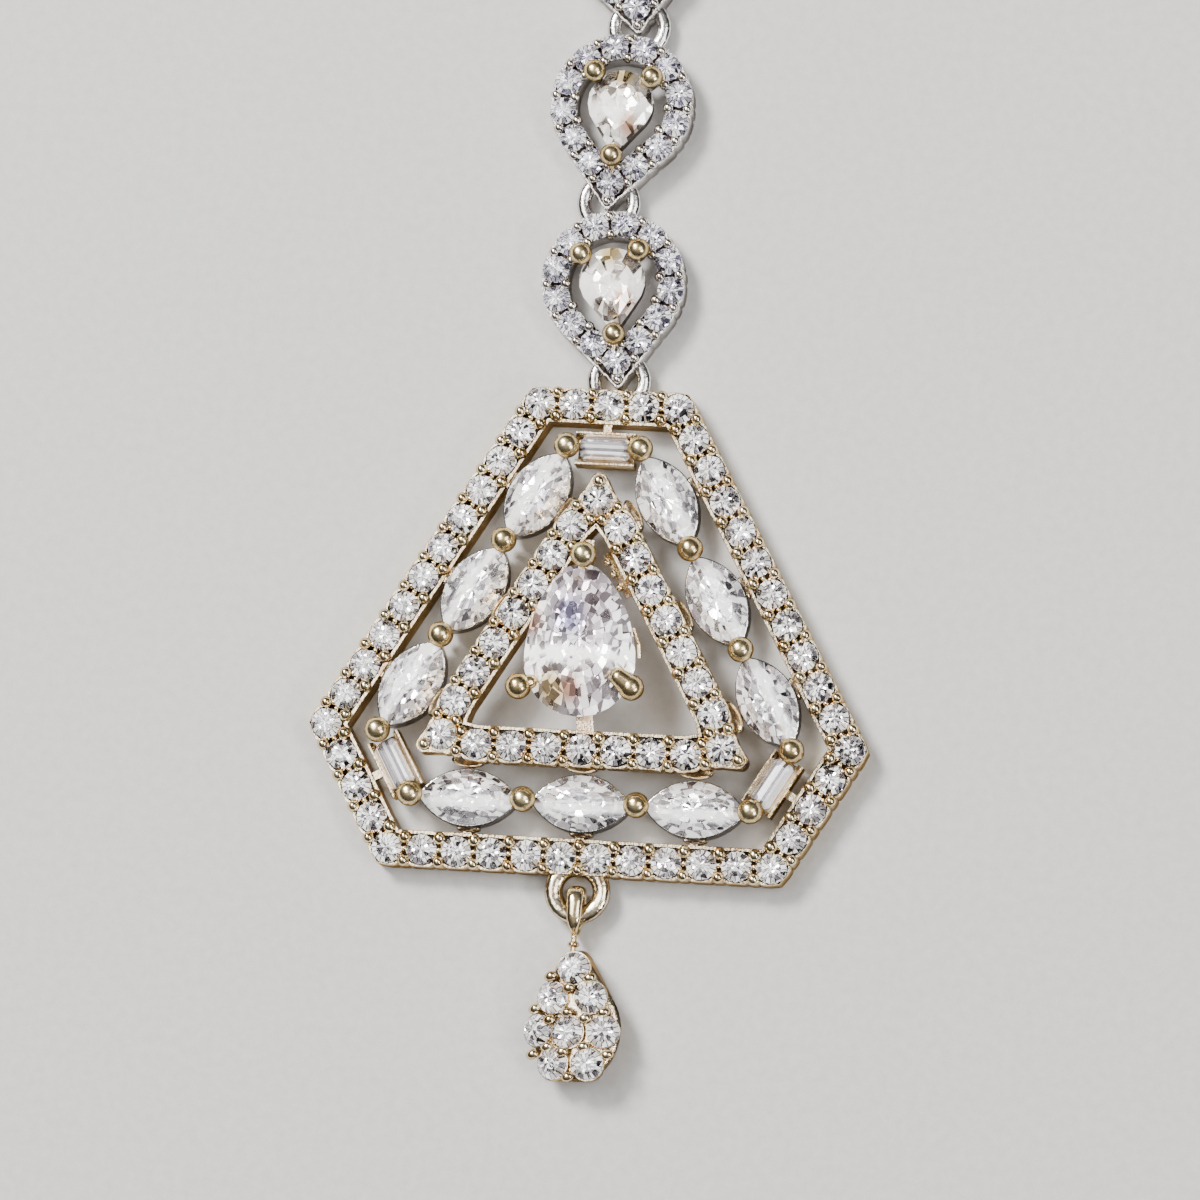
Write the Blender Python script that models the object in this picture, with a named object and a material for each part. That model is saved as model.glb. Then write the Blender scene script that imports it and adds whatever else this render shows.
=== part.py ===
"""A maang tikka, the jewel worn on the parting of the hair, lying on its back.

A triangular pendant with cut corners carries a drop below it and a chain of three pear-shaped links above
it, which ends in a hair hook. The shapes are worked out in millimetres in the pendant's own frame, with its
centre at the origin, its hair end towards +Y and its back on Z = 0. The last step turns them into metres and
puts the origin at the middle of the footprint.
"""

import math

import bmesh
import bpy
import numpy as np
from mathutils import Matrix, Vector

MM = 0.001

# Pavé bars: a flat strip of metal with a row of round stones
PAVE_STONE = 1.48
PAVE_PITCH = 1.76
PAVE_CROWN = 0.32
BAR_OUTER = 0.85
BAR_INNER = 0.95

# Connector rings and what they need under a bar: a bridge, the wire and a roof
RING_DIAMETER = 3.1
RING_WIRE = 0.56
RING_CLEARANCE = 0.12
BRIDGE_THICKNESS = 0.28
BRIDGE_WIDTH = 0.6
ROOF = 0.32
RING_SEGMENTS = 12
RING_HOLE_RADIUS = (RING_DIAMETER / 2 - RING_WIRE) * math.cos(math.pi / RING_SEGMENTS)
RING_HEIGHT = BRIDGE_THICKNESS + RING_CLEARANCE + RING_WIRE / 2
POCKET_HEIGHT = RING_HEIGHT + RING_WIRE / 2 + RING_CLEARANCE
BAR_HEIGHT = POCKET_HEIGHT + ROOF

# Ring of marquise and baguette stones between ball prongs
MARQUISE_LENGTH = 5.0
MARQUISE_WIDTH = 3.0
MARQUISES_PER_SIDE = 3
MARQUISE_CROWN = 0.5
MARQUISE_PAVILION = 0.95
BALL_DIAMETER = 1.26
TIP_TO_BALL = 0.35
POST_RADIUS = 0.24
BAGUETTE_LENGTH = 2.5
BAGUETTE_WIDTH = 1.1
BAGUETTE_CROWN = 0.3
BAGUETTE_PAVILION = 0.8
BEZEL_WALL = 0.3
BEZEL_LIP = 0.1
STONE_CLEARANCE = 0.1
RAIL_BASE = 0.75
RAIL_HEIGHT = 0.45
RAIL_WIDTH = 0.34
GIRDLE_HEIGHT = 1.78
GIRDLE_BAND = 0.08
BALL_ABOVE_GIRDLE = 0.78

# How far the ring of stones stands off its neighbours
FRAME_GAP = 0.13
CORNER_GAP = 0.37
TRIANGLE_GAP = 0.72
TAB_WIDTH = 1.4
BRACKET_THICKNESS = 0.6

# Raised inner triangle
TRIANGLE_BASE = 1.9
TRIANGLE_THICKNESS = 1.3
CORNER_BEAD = 0.62

# Centre stone and its basket
PEAR_PLACE = (-0.15, -0.1)
PEAR_WIDTH = 5.6
PEAR_TIP_DISTANCE = 4.95
PEAR_TIP_RADIUS = 0.3
PEAR_CROWN = 0.85
PEAR_PAVILION = 1.9
PEAR_GIRDLE = 3.95
PEAR_BALL = 1.3
PEAR_BALL_LIFT = 0.72
PEAR_TIP_BALL_REACH = 0.3
SPOKE_WIDTH = 0.45
GALLERY_THICKNESS = 0.4
GALLERY_CLEARANCE = 0.12
STEM_RADIUS = 0.22

# The pear's side prongs: each one's turn round the stone, the side of the triangle that carries it, and how
# far its ball stands off the stone's outline
PEAR_SIDE_PRONGS = (
    (205.0, 150, 0.5),
    (-23.0, 30, 0.3),
)

# Pear-shaped links
LINK_RADIUS = 3.65
LINK_TIP_DISTANCE = 5.45
LINK_TIP_RADIUS = 0.15
LINK_BAND = 1.35
LINK_OPENING_TIP = 3.2
LINK_STONES = 13
LINK_STONE = 1.28
LINK_TIP_STONE = 4.1
LINK_TURN_RADIUS = 0.5
LINK_PEAR_WIDTH = 3.2
LINK_PEAR_TIP = 2.6
LINK_PEAR_CROWN = 0.5
LINK_PEAR_PAVILION = 1.15
LINK_GIRDLE = 1.72
LINK_BALL = 1.12
LINK_BALL_LIFT = 0.62
LINK_TIP_BALL_DISTANCE = 2.85
LINK_SIDE_BALL_REACH = 0.4
LINK_FOOT_DEPTH = 0.945
LINK_BALL_TURN = 47.0
LINK_GAP = 0.12
RING_IN_LINK = 0.45

# Each link's lean, and how far round its head the next ring sits, in degrees anticlockwise
LINK_POSES = {
    "link_1": (6.6, 2.6),
    "link_2": (-4.4, -5.0),
    "link_3": (7.6, 0.0),
}
FIRST_LINK_SIDE = 0.38

# Bottom loop, bail and drop
LOOP_HOLE = 1.5
LOOP_BAND = 0.88
LOOP_THICKNESS = 0.6
BAIL_WIDTH = 0.72
BAIL_THICKNESS = 0.42
BAIL_CLEARANCE = 0.2
BAIL_SLACK = 0.75
COLLAR_DIAMETER = 0.8
COLLAR_LENGTH = 0.5
DROP_RADIUS = 2.6
DROP_TOP_DISTANCE = 3.95
DROP_TOP_RADIUS = 0.95
DROP_THICKNESS = 1.4
DROP_STONE = 1.42
DROP_ROLL = 9.0

# Rows of the drop's stones: how many, and the row's height as a share of the drop's radius
DROP_ROWS = (
    (1, 1.15),
    (2, 0.61),
    (3, -0.02),
    (2, -0.62),
)
DROP_PITCH_SHARE = 0.69

# Hair hook: a strap eye, a shank, a round bend and a shorter return leg
HOOK_WIRE = 1.0
HOOK_GAP = 4.8
HOOK_SHANK = 8.0
HOOK_RETURN = 5.5
HOOK_CURL = 1.6
EYE_WIDTH = 0.9
STRAP_CORNER = 0.12

# The gallery under a pear stone, as shares of the stone's outline
GALLERY_OUTER = 0.84
GALLERY_INNER = 0.68

# Each cut's table, as a share of its outline, and how much of a bezel's end is left beside the balls
MARQUISE_TABLE = 0.56
BAGUETTE_TABLE = 0.7
PEAR_TABLE = 0.58
PAVE_TABLE = 0.6
BAGUETTE_CORNER = 0.15
BEZEL_NECK = 0.42

# How finely round things are cut
BALL_SIDES = 10
BALL_RINGS = 3
ROUND_CUT = 8
MARQUISE_CUT = 6
PEAR_CUT = 14
LINK_PEAR_CUT = 12
LINK_SIDES = 21
LOOP_SIDES = 14
POCKET_SIDES = 16
WIRE_SIDES = 6
HOOK_SIDES = 8
BITE = 0.06
WELD = 0.002

# Colour, roughness and metallic value of each finish
FINISHES = {
    "rose_white_plate": ((0.86, 0.77, 0.66, 1.0), 0.2, 1.0),
    "white_plate": ((0.86, 0.86, 0.86, 1.0), 0.18, 1.0),
    "clear_stone": ((0.93, 0.93, 0.96, 1.0), 0.05, 0.0),
}


# Shapes are pairs of points and faces, each one closed


def scaled(outline, share):
    return [(x * share, y * share) for x, y in outline]


def turned(point, degrees):
    """A plan point turned anticlockwise round the origin."""
    angle = math.radians(degrees)
    x, y = point
    return (
        x * math.cos(angle) - y * math.sin(angle),
        x * math.sin(angle) + y * math.cos(angle),
    )


def at_height(outline, height):
    return [(x, y, height) for x, y in outline]


def skin(loops, tip=None, foot=None):
    """A closed shape through loops of equal length. An end is a flat cap, or a point where one is given."""
    count = len(loops[0])
    points = [p for loop in loops for p in loop]
    faces = []
    for level in range(len(loops) - 1):
        low, high = level * count, (level + 1) * count
        for i in range(count):
            j = (i + 1) % count
            faces.append((low + i, low + j, high + j, high + i))
    first = list(range(count))
    last = list(range(len(points) - count, len(points)))
    for end, point in ((first, foot), (last, tip)):
        if point is None:
            faces.append(tuple(end))
        else:
            points.append(point)
            top = len(points) - 1
            faces += [(end[i], end[(i + 1) % count], top) for i in range(count)]
    return points, faces


def hoop(loops):
    """A closed ring through loops, the last joined to the first."""
    count, levels = len(loops[0]), len(loops)
    points = [p for loop in loops for p in loop]
    faces = []
    for level in range(levels):
        low, high = level * count, ((level + 1) % levels) * count
        for i in range(count):
            j = (i + 1) % count
            faces.append((low + i, low + j, high + j, high + i))
    return points, faces


def band(outer, inner, low, high):
    """A flat ring between two plan outlines of equal length."""
    return hoop([
        at_height(outer, low),
        at_height(outer, high),
        at_height(inner, high),
        at_height(inner, low),
    ])  # fmt: skip


def block(outline, low, high):
    return skin([at_height(outline, low), at_height(outline, high)])


def placed(shape, matrix):
    points, faces = shape
    return [tuple(matrix @ Vector(p)) for p in points], faces


def plan_place(place, degrees):
    """The matrix that turns a shape in plan and then moves it to a place."""
    x, y = place
    return Matrix.Translation((x, y, 0)) @ Matrix.Rotation(math.radians(degrees), 4, "Z")


# Outlines in plan


def circle(radius, count, start=0.0):
    angles = [start + 2 * math.pi * i / count for i in range(count)]
    return [(radius * math.cos(a), radius * math.sin(a)) for a in angles]


def rectangle(x0, x1, y0, y1):
    return [(x0, y0), (x1, y0), (x1, y1), (x0, y1)]


def grown(outline, distance):
    """An anticlockwise outline with each side moved outwards and the corners mitred."""
    count, result = len(outline), []
    for i in range(count):
        before, here, after = (Vector(outline[(i + k) % count]) for k in (-1, 0, 1))
        into, out = (here - before).normalized(), (after - here).normalized()
        normals = Vector((into.y, -into.x)), Vector((out.y, -out.x))
        middle = (normals[0] + normals[1]).normalized()
        result.append(tuple(here + middle * distance / middle.dot(normals[0])))
    return result


def cut_triangle(short_distance, long_distance):
    """Corners of an equiangular hexagon whose short sides lie at the top, lower left and lower right."""
    short = (2 * long_distance - short_distance) * 2 / math.sqrt(3)
    corners = ((short / 2, short_distance), (-short / 2, short_distance))
    return [turned(corner, 120 * k) for k in range(3) for corner in corners]


def teardrop(radius, tip_distance, tip_radius, round_count, tip_count=3):
    """A round head at the origin whose sides run to a small round point below it, anticlockwise."""
    tip_centre = tip_distance - tip_radius
    slope = math.asin((radius - tip_radius) / tip_centre)
    tip_half, head_half = math.pi / 2 - slope, math.pi / 2 + slope
    tip_angles = np.linspace(-tip_half, tip_half, tip_count) - math.pi / 2
    head_angles = np.linspace(-head_half, head_half, round_count) + math.pi / 2
    tip = [(tip_radius * math.cos(a), tip_radius * math.sin(a) - tip_centre) for a in tip_angles]
    head = [(radius * math.cos(a), radius * math.sin(a)) for a in head_angles]
    return tip + head


def marquise(length, width, count):
    """Two equal arcs that meet in points on the X axis, with count sides each."""
    half_length, half_width = length / 2, width / 2
    radius = (half_length**2 + half_width**2) / (2 * half_width)
    reach = math.asin(half_length / radius)
    angles = np.linspace(-reach, reach, count + 1)[:-1]
    lower = [(radius * math.sin(a), radius - half_width - radius * math.cos(a)) for a in angles]
    return lower + [(-x, -y) for x, y in lower]


def along(outline, pitch):
    """Places with their side's direction, evenly spaced from corner to corner of a closed outline."""
    places = []
    for i, corner in enumerate(outline):
        start, end = Vector(corner), Vector(outline[(i + 1) % len(outline)])
        steps = max(round((end - start).length / pitch), 1)
        places += [tuple(start.lerp(end, k / steps)) for k in range(steps)]
    return places


def spaced(outline, count):
    """Places spaced evenly by length round a closed outline, from its first point on."""
    loop = np.array(outline + outline[:1])
    lengths = np.hypot(*np.diff(loop, axis=0).T)
    far = np.concatenate([[0], np.cumsum(lengths)])
    stops = np.linspace(0, far[-1], count, endpoint=False)
    return [(float(np.interp(s, far, loop[:, 0])), float(np.interp(s, far, loop[:, 1]))) for s in stops]


# Stones, balls and wire


def pave_stone(place, diameter, seat, crown=PAVE_CROWN, sides=ROUND_CUT):
    """The crown of a round stone that is fused to its seat: a table within a ring of facets."""
    x, y = place
    girdle, table = diameter / 2, PAVE_TABLE * diameter / 2
    sunk = girdle + BITE * (girdle - table) / crown
    levels = ((sunk, seat - BITE), (table, seat + crown))
    start = math.pi / sides
    loops = [[(x + u, y + v, z) for u, v in circle(r, sides, start)] for r, z in levels]
    return skin(loops)


def loose_stone(outline, girdle, crown, pavilion, table_share):
    """A cut stone: a table, a crown facet and a pavilion facet for each side, and a culet under the origin."""
    middle = np.mean(outline, axis=0)
    table = [tuple(middle + table_share * (np.array(p) - middle)) for p in outline]
    low, high = girdle - GIRDLE_BAND / 2, girdle + GIRDLE_BAND / 2
    loops = [at_height(outline, low), at_height(outline, high), at_height(table, high + crown)]
    return skin(loops, foot=(0.0, 0.0, low - pavilion))


def ball(centre, diameter):
    radius = diameter / 2
    x, y, z = centre
    loops = []
    for ring in range(1, BALL_RINGS + 1):
        latitude = math.pi * ring / (BALL_RINGS + 1) - math.pi / 2
        loops.append([
            (x + u, y + v, z + radius * math.sin(latitude))
            for u, v in circle(radius * math.cos(latitude), BALL_SIDES)
        ])  # fmt: skip
    return skin(loops, tip=(x, y, z + radius), foot=(x, y, z - radius))


def stem(start, end, radius, sides=WIRE_SIDES):
    """A straight round bar between two points."""
    start, end = Vector(start), Vector(end)
    turn = Vector((0, 0, 1)).rotation_difference(end - start).to_matrix()
    rim = [turn @ Vector((u, v, 0)) for u, v in circle(radius, sides)]
    return skin([[tuple(p + r) for r in rim] for p in (start, end)])


def flat_ring(centre, diameter, wire, segments=RING_SEGMENTS):
    """A ring of round wire that lies flat."""
    x, y, z = centre
    path = (diameter - wire) / 2
    loops = []
    for out, up in circle(wire / 2, WIRE_SIDES):
        loops.append([(x + u, y + v, z + up) for u, v in circle(path + out, segments)])
    return hoop(loops)


def upright_loop(start, end, low, high, width, thickness, corner):
    """A strap bent to a closed oval that stands on edge along Y, between two places and two heights."""
    outer = rounded(start, end, low, high, corner + thickness)
    inner = rounded(start + thickness, end - thickness, low + thickness, high - thickness, corner)
    sides = (-width / 2, width / 2)
    rims = ((sides[0], outer), (sides[1], outer), (sides[1], inner), (sides[0], inner))
    return hoop([[(x, y, z) for y, z in rim] for x, rim in rims])


def rounded(x0, x1, y0, y1, radius, steps=2):
    """A rectangle with round corners, none larger than the rectangle allows."""
    radius = min(radius, (x1 - x0) / 2.01, (y1 - y0) / 2.01)
    centres = ((x1, y0, -90), (x1, y1, 0), (x0, y1, 90), (x0, y0, 180))
    outline = []
    for x, y, first in centres:
        inward_x, inward_y = (-radius if x == x1 else radius), (radius if y == y0 else -radius)
        for k in range(steps + 1):
            angle = math.radians(first + 90 * k / steps)
            outline.append((
                x + inward_x + radius * math.cos(angle),
                y + inward_y + radius * math.sin(angle),
            ))  # fmt: skip
    return outline


# Solids made of shapes


def new_object(name, shapes):
    """An object whose mesh holds closed shapes side by side, faces out."""
    points, faces = [], []
    for more, sides in shapes:
        faces += [tuple(i + len(points) for i in side) for side in sides]
        points += more
    mesh = bpy.data.meshes.new(name)
    mesh.from_pydata(points, [], faces)
    work = bmesh.new()
    work.from_mesh(mesh)
    bmesh.ops.recalc_face_normals(work, faces=work.faces)
    work.to_mesh(mesh)
    work.free()
    obj = bpy.data.objects.new(name, mesh)
    bpy.context.scene.collection.objects.link(obj)
    return obj


def clean(mesh):
    """Welds the points that a cut leaves almost on each other."""
    work = bmesh.new()
    work.from_mesh(mesh)
    bmesh.ops.remove_doubles(work, verts=work.verts, dist=WELD)
    bmesh.ops.dissolve_degenerate(work, edges=work.edges, dist=WELD)
    work.to_mesh(mesh)
    work.free()


def combine(obj, shapes, operation="UNION"):
    """Joins shapes that are clear of each other to a solid, or cuts them from it."""
    tool = new_object("tool", shapes)
    modifier = obj.modifiers.new("combine", "BOOLEAN")
    modifier.solver = "EXACT"
    modifier.operation = operation
    modifier.object = tool
    graph = bpy.context.evaluated_depsgraph_get()
    mesh = bpy.data.meshes.new_from_object(obj.evaluated_get(graph))
    obj.modifiers.clear()
    clean(mesh)
    before, obj.data = obj.data, mesh
    bpy.data.meshes.remove(before)
    tool_mesh = tool.data
    bpy.data.objects.remove(tool)
    bpy.data.meshes.remove(tool_mesh)


def ring_pocket(obj, ring_place, direction, post, leg):
    """Clears the underside of a solid for a flat ring and bridges it.

    post and leg are the near and far ends of the two legs of the bridge, measured from the ring's centre
    along direction, in degrees. The post stands inside the ring and the leg outside it.
    """
    matrix = plan_place(ring_place, direction)
    reach = (RING_DIAMETER / 2 + RING_CLEARANCE) / math.cos(math.pi / POCKET_SIDES)
    cutter = block(circle(reach, POCKET_SIDES), -ROOF, POCKET_HEIGHT)
    combine(obj, [placed(cutter, matrix)], "DIFFERENCE")
    top = POCKET_HEIGHT + ROOF / 2
    half = BRIDGE_WIDTH / 2
    side = [
        (post[0], 0.0),
        (leg[1], 0.0),
        (leg[1], top),
        (leg[0], top),
        (leg[0], BRIDGE_THICKNESS),
        (post[1], BRIDGE_THICKNESS),
        (post[1], top),
        (post[0], top),
    ]
    loops = [[(u, v, z) for u, z in side] for v in (-half, half)]
    combine(obj, [placed(skin(loops), matrix)])


# The pendant's plan, from the ring of stones outwards and inwards

SIDE_DIRECTIONS = (-90, 30, 150)
BEZEL_HALF = BAGUETTE_WIDTH / 2 + STONE_CLEARANCE + BEZEL_WALL
MARQUISE_PITCH = MARQUISE_LENGTH + 2 * TIP_TO_BALL
CORNER_PITCH = BAGUETTE_LENGTH + BALL_DIAMETER - BEZEL_LIP + STONE_CLEARANCE / 2
RING_LONG = MARQUISES_PER_SIDE * MARQUISE_PITCH
RING_LONG_DISTANCE = (RING_LONG + 2 * CORNER_PITCH) / (2 * math.sqrt(3))
RING_SHORT_DISTANCE = 2 * RING_LONG_DISTANCE - CORNER_PITCH * math.sqrt(3) / 2
BAR_LONG_DISTANCE = RING_LONG_DISTANCE + MARQUISE_WIDTH / 2 + FRAME_GAP + BAR_INNER
BAR_SHORT_DISTANCE = RING_SHORT_DISTANCE + BEZEL_HALF + CORNER_GAP + BAR_INNER
TRIANGLE_DISTANCE = RING_LONG_DISTANCE - MARQUISE_WIDTH / 2 - TRIANGLE_GAP - BAR_OUTER
TRIANGLE_TOP = TRIANGLE_BASE + TRIANGLE_THICKNESS
RAIL_TOP = RAIL_BASE + RAIL_HEIGHT
RAIL_HALF = MARQUISE_WIDTH / 2 - RAIL_WIDTH
BALL_HEIGHT = GIRDLE_HEIGHT + BALL_ABOVE_GIRDLE


def side_frame(direction):
    """Turns a shape made for the bottom side, with X along the side, to the side that faces a direction."""
    return plan_place((0, 0), direction + 90)


def marquise_places():
    """Plan place and turn of each marquise."""
    middle = (MARQUISES_PER_SIDE - 1) / 2
    for direction in SIDE_DIRECTIONS:
        for k in range(MARQUISES_PER_SIDE):
            place = ((k - middle) * MARQUISE_PITCH, -RING_LONG_DISTANCE)
            yield turned(place, direction + 90), direction + 90


def baguette_places():
    """Plan place and turn of each baguette, one at each cut corner."""
    for direction in SIDE_DIRECTIONS:
        yield turned((0, RING_SHORT_DISTANCE), direction + 90), direction + 90


def ball_places():
    """Plan places of the ball prongs, one at each end of each stone in the ring."""
    for direction in SIDE_DIRECTIONS:
        for k in range(MARQUISES_PER_SIDE + 1):
            place = (k * MARQUISE_PITCH - RING_LONG / 2, -RING_LONG_DISTANCE)
            yield turned(place, direction + 90)


def pave_bar(obj_name, outline, base, height):
    """A mitred bar along a closed outline, with its stones."""
    bar = band(grown(outline, BAR_OUTER), grown(outline, -BAR_INNER), base, base + height)
    obj = new_object(obj_name, [bar])
    stones = [pave_stone(place, PAVE_STONE, base + height) for place in along(outline, PAVE_PITCH)]
    combine(obj, stones)
    return obj


def bezel():
    """The tray round a baguette: straight rails on the long sides, ends that narrow to the balls."""
    end = CORNER_PITCH / 2 - POST_RADIUS / 2
    inner_x, inner_y = BAGUETTE_LENGTH / 2 + STONE_CLEARANCE, BAGUETTE_WIDTH / 2 + STONE_CLEARANCE
    shoulder, neck = inner_x + BEZEL_LIP, BEZEL_HALF * BEZEL_NECK
    outer = [
        (shoulder, -BEZEL_HALF),
        (end, -neck),
        (end, neck),
        (shoulder, BEZEL_HALF),
        (-shoulder, BEZEL_HALF),
        (-end, neck),
        (-end, -neck),
        (-shoulder, -BEZEL_HALF),
    ]
    inner = [
        (inner_x, -inner_y),
        (inner_x, -inner_y / 2),
        (inner_x, inner_y / 2),
        (inner_x, inner_y),
        (-inner_x, inner_y),
        (-inner_x, inner_y / 2),
        (-inner_x, -inner_y / 2),
        (-inner_x, -inner_y),
    ]
    return band(outer, inner, RAIL_BASE, GIRDLE_HEIGHT + GIRDLE_BAND + BEZEL_LIP)


def stone_ring_settings(obj):
    """Adds the rails, bezels, posts and balls of the ring of stones, and the tabs to the bars beside it."""
    length = MARQUISE_PITCH - POST_RADIUS
    outer = marquise(length, 2 * RAIL_HALF, MARQUISE_CUT)
    inner = marquise(length - 3 * RAIL_WIDTH, 2 * (RAIL_HALF - RAIL_WIDTH), MARQUISE_CUT)
    rail = band(outer, inner, RAIL_BASE, RAIL_TOP)
    rails = [placed(rail, plan_place(*where)) for where in marquise_places()]
    bezels = [placed(bezel(), plan_place(*where)) for where in baguette_places()]
    half = TAB_WIDTH / 2
    out_tab = block(
        rectangle(-half, half, -RAIL_HALF - FRAME_GAP - RAIL_WIDTH - BITE, -RAIL_HALF + RAIL_WIDTH / 2),
        RAIL_BASE + BITE,
        RAIL_TOP - BITE,
    )
    corner_tab = block(
        rectangle(-half / 2, half / 2, BEZEL_HALF - BEZEL_WALL / 2, BEZEL_HALF + CORNER_GAP + BITE),
        RAIL_BASE + BITE,
        RAIL_TOP - BITE,
    )
    out_tabs = [placed(out_tab, plan_place(*where)) for where in marquise_places()]
    corner_tabs = [placed(corner_tab, plan_place(*where)) for where in baguette_places()]
    combine(obj, out_tabs + corner_tabs)
    combine(obj, rails + bezels)
    combine(obj, [stem((*p, RAIL_BASE - BITE), (*p, BALL_HEIGHT), POST_RADIUS) for p in ball_places()])
    combine(obj, [ball((*p, BALL_HEIGHT), BALL_DIAMETER) for p in ball_places()])


def bracket():
    """The step that carries the inner triangle, from the rail of the middle marquise on the bottom side."""
    wall = TRIANGLE_DISTANCE + BAR_OUTER
    near, far = wall - BITE * 3, wall + TRIANGLE_GAP - STONE_CLEARANCE * 2
    rail = RING_LONG_DISTANCE - RAIL_HALF + RAIL_WIDTH / 2
    low, step, top = RAIL_BASE + BITE, RAIL_TOP - BITE, TRIANGLE_BASE + BRACKET_THICKNESS
    side = [(near, low), (rail, low), (rail, step), (far, step), (far, top), (near, top)]
    half = TAB_WIDTH / 2
    return skin([[(x, -r, z) for r, z in side] for x in (-half, half)])


def pear_outline(width, tip_distance, tip_radius, count):
    """A pear outline with its point up."""
    return [turned(p, 180) for p in teardrop(width / 2, tip_distance, tip_radius, count)]


def pear_balls():
    """Centre and foot of each ball prong of the centre stone: two beside it and one over its point."""
    x, y = PEAR_PLACE
    lift = PEAR_GIRDLE + PEAR_BALL_LIFT
    foot_height = TRIANGLE_TOP - RAIL_WIDTH
    inner_wall = TRIANGLE_DISTANCE - BAR_INNER
    for angle, side, away in PEAR_SIDE_PRONGS:
        centre = Vector((x, y)) + Vector(turned((PEAR_WIDTH / 2 + away, 0), angle))
        out = Vector(turned((1, 0), side))
        foot = centre + out * (inner_wall + BAR_INNER / 2 - centre.dot(out))
        yield (*centre, lift), (*foot, foot_height)
    tip_ball = y + PEAR_TIP_DISTANCE + PEAR_TIP_BALL_REACH
    yield (x, tip_ball, lift), (0, 2 * inner_wall + BAR_INNER / 2, foot_height)


def gallery_heights(girdle, pavilion):
    """The gallery's faces: its top inner edge stays clear of the pavilion above it."""
    top = girdle - (1 - GALLERY_INNER) * pavilion - GIRDLE_BAND / 2 - GALLERY_CLEARANCE
    return top - GALLERY_THICKNESS, top


def gallery(outline, girdle, pavilion):
    """A flat ring that follows a pear stone's outline under its girdle."""
    low, high = gallery_heights(girdle, pavilion)
    return band(scaled(outline, GALLERY_OUTER), scaled(outline, GALLERY_INNER), low, high)


def centre_setting(obj):
    """Adds the gallery under the centre stone, its spokes, and the three ball prongs on their stems."""
    outline = pear_outline(PEAR_WIDTH, PEAR_TIP_DISTANCE, PEAR_TIP_RADIUS, PEAR_CUT)
    low, top = gallery_heights(PEAR_GIRDLE, PEAR_PAVILION)
    rim = (GALLERY_OUTER + GALLERY_INNER) / 2 * PEAR_WIDTH / 2
    half, wall = SPOKE_WIDTH / 2, TRIANGLE_DISTANCE - BAR_INNER
    spokes = []
    for direction in SIDE_DIRECTIONS:
        spoke = block(rectangle(rim, wall + 4 * BITE, -half, half), low + BITE, top - BITE)
        spokes.append(placed(spoke, plan_place(PEAR_PLACE, direction)))
    combine(obj, [placed(gallery(outline, PEAR_GIRDLE, PEAR_PAVILION), plan_place(PEAR_PLACE, 0))])
    combine(obj, spokes)
    combine(obj, [stem(centre, foot, STEM_RADIUS) for centre, foot in pear_balls()])
    combine(obj, [ball(centre, PEAR_BALL) for centre, _ in pear_balls()])


def loop_centre():
    """The bottom loop's centre: its band starts inside the bottom bar."""
    return (0.0, -(BAR_LONG_DISTANCE + BAR_OUTER + LOOP_HOLE / 2))


def loop_heights():
    """The loop lies above the bail's lower run, with the bail's clearance."""
    low = BAIL_THICKNESS + BAIL_CLEARANCE
    return low, low + LOOP_THICKNESS


def pendant_casting():
    frame = cut_triangle(BAR_SHORT_DISTANCE, BAR_LONG_DISTANCE)
    obj = pave_bar("pendant_casting", frame, 0.0, BAR_HEIGHT)
    stone_ring_settings(obj)
    brackets = [placed(bracket(), side_frame(direction)) for direction in SIDE_DIRECTIONS]
    combine(obj, brackets)
    corner = 2 * TRIANGLE_DISTANCE
    triangle = [turned((0, corner), 120 * k) for k in range(3)]
    bar = band(grown(triangle, BAR_OUTER), grown(triangle, -BAR_INNER), TRIANGLE_BASE, TRIANGLE_TOP)
    combine(obj, [bar])
    combine(obj, [pave_stone(place, PAVE_STONE, TRIANGLE_TOP) for place in along(triangle, PAVE_PITCH)])
    tip = corner + 2 * BAR_OUTER - CORNER_BEAD / 2
    combine(obj, [ball((*turned((0, tip), 120 * k), TRIANGLE_TOP), CORNER_BEAD) for k in range(3)])
    centre_setting(obj)
    low, high = loop_heights()
    outer, inner = circle(LOOP_HOLE / 2 + LOOP_BAND, LOOP_SIDES), circle(LOOP_HOLE / 2, LOOP_SIDES)
    combine(obj, [placed(band(outer, inner, low, high), plan_place(loop_centre(), 0))])
    _, rings = chain_places()
    ring_pocket(obj, rings[0], -90, *head_legs(BAR_OUTER + BAR_INNER))
    return obj


# Links


def post_end(width=BRIDGE_WIDTH):
    """How far a bridge's post reaches from the ring's centre: its corners stay clear of the wire."""
    return math.sqrt(RING_HOLE_RADIUS**2 - (width / 2) ** 2) - RING_CLEARANCE


def leg_start():
    """Where a bridge's leg starts: a little inside the wall of the pocket that is cut for the ring."""
    return RING_DIAMETER / 2 + RING_CLEARANCE * 0.8


def head_legs(depth):
    """The bridge's two legs behind a head or bar of a given depth, measured from the ring's centre."""
    edge = LINK_GAP + RING_IN_LINK
    return (edge + BITE / 2, post_end()), (leg_start(), edge + depth - BITE / 2)


def tip_legs():
    """The bridge's two legs behind a link's point, measured from the ring's centre up the link."""
    return (0.0, post_end()), (leg_start(), leg_start() + BRIDGE_WIDTH)


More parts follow.
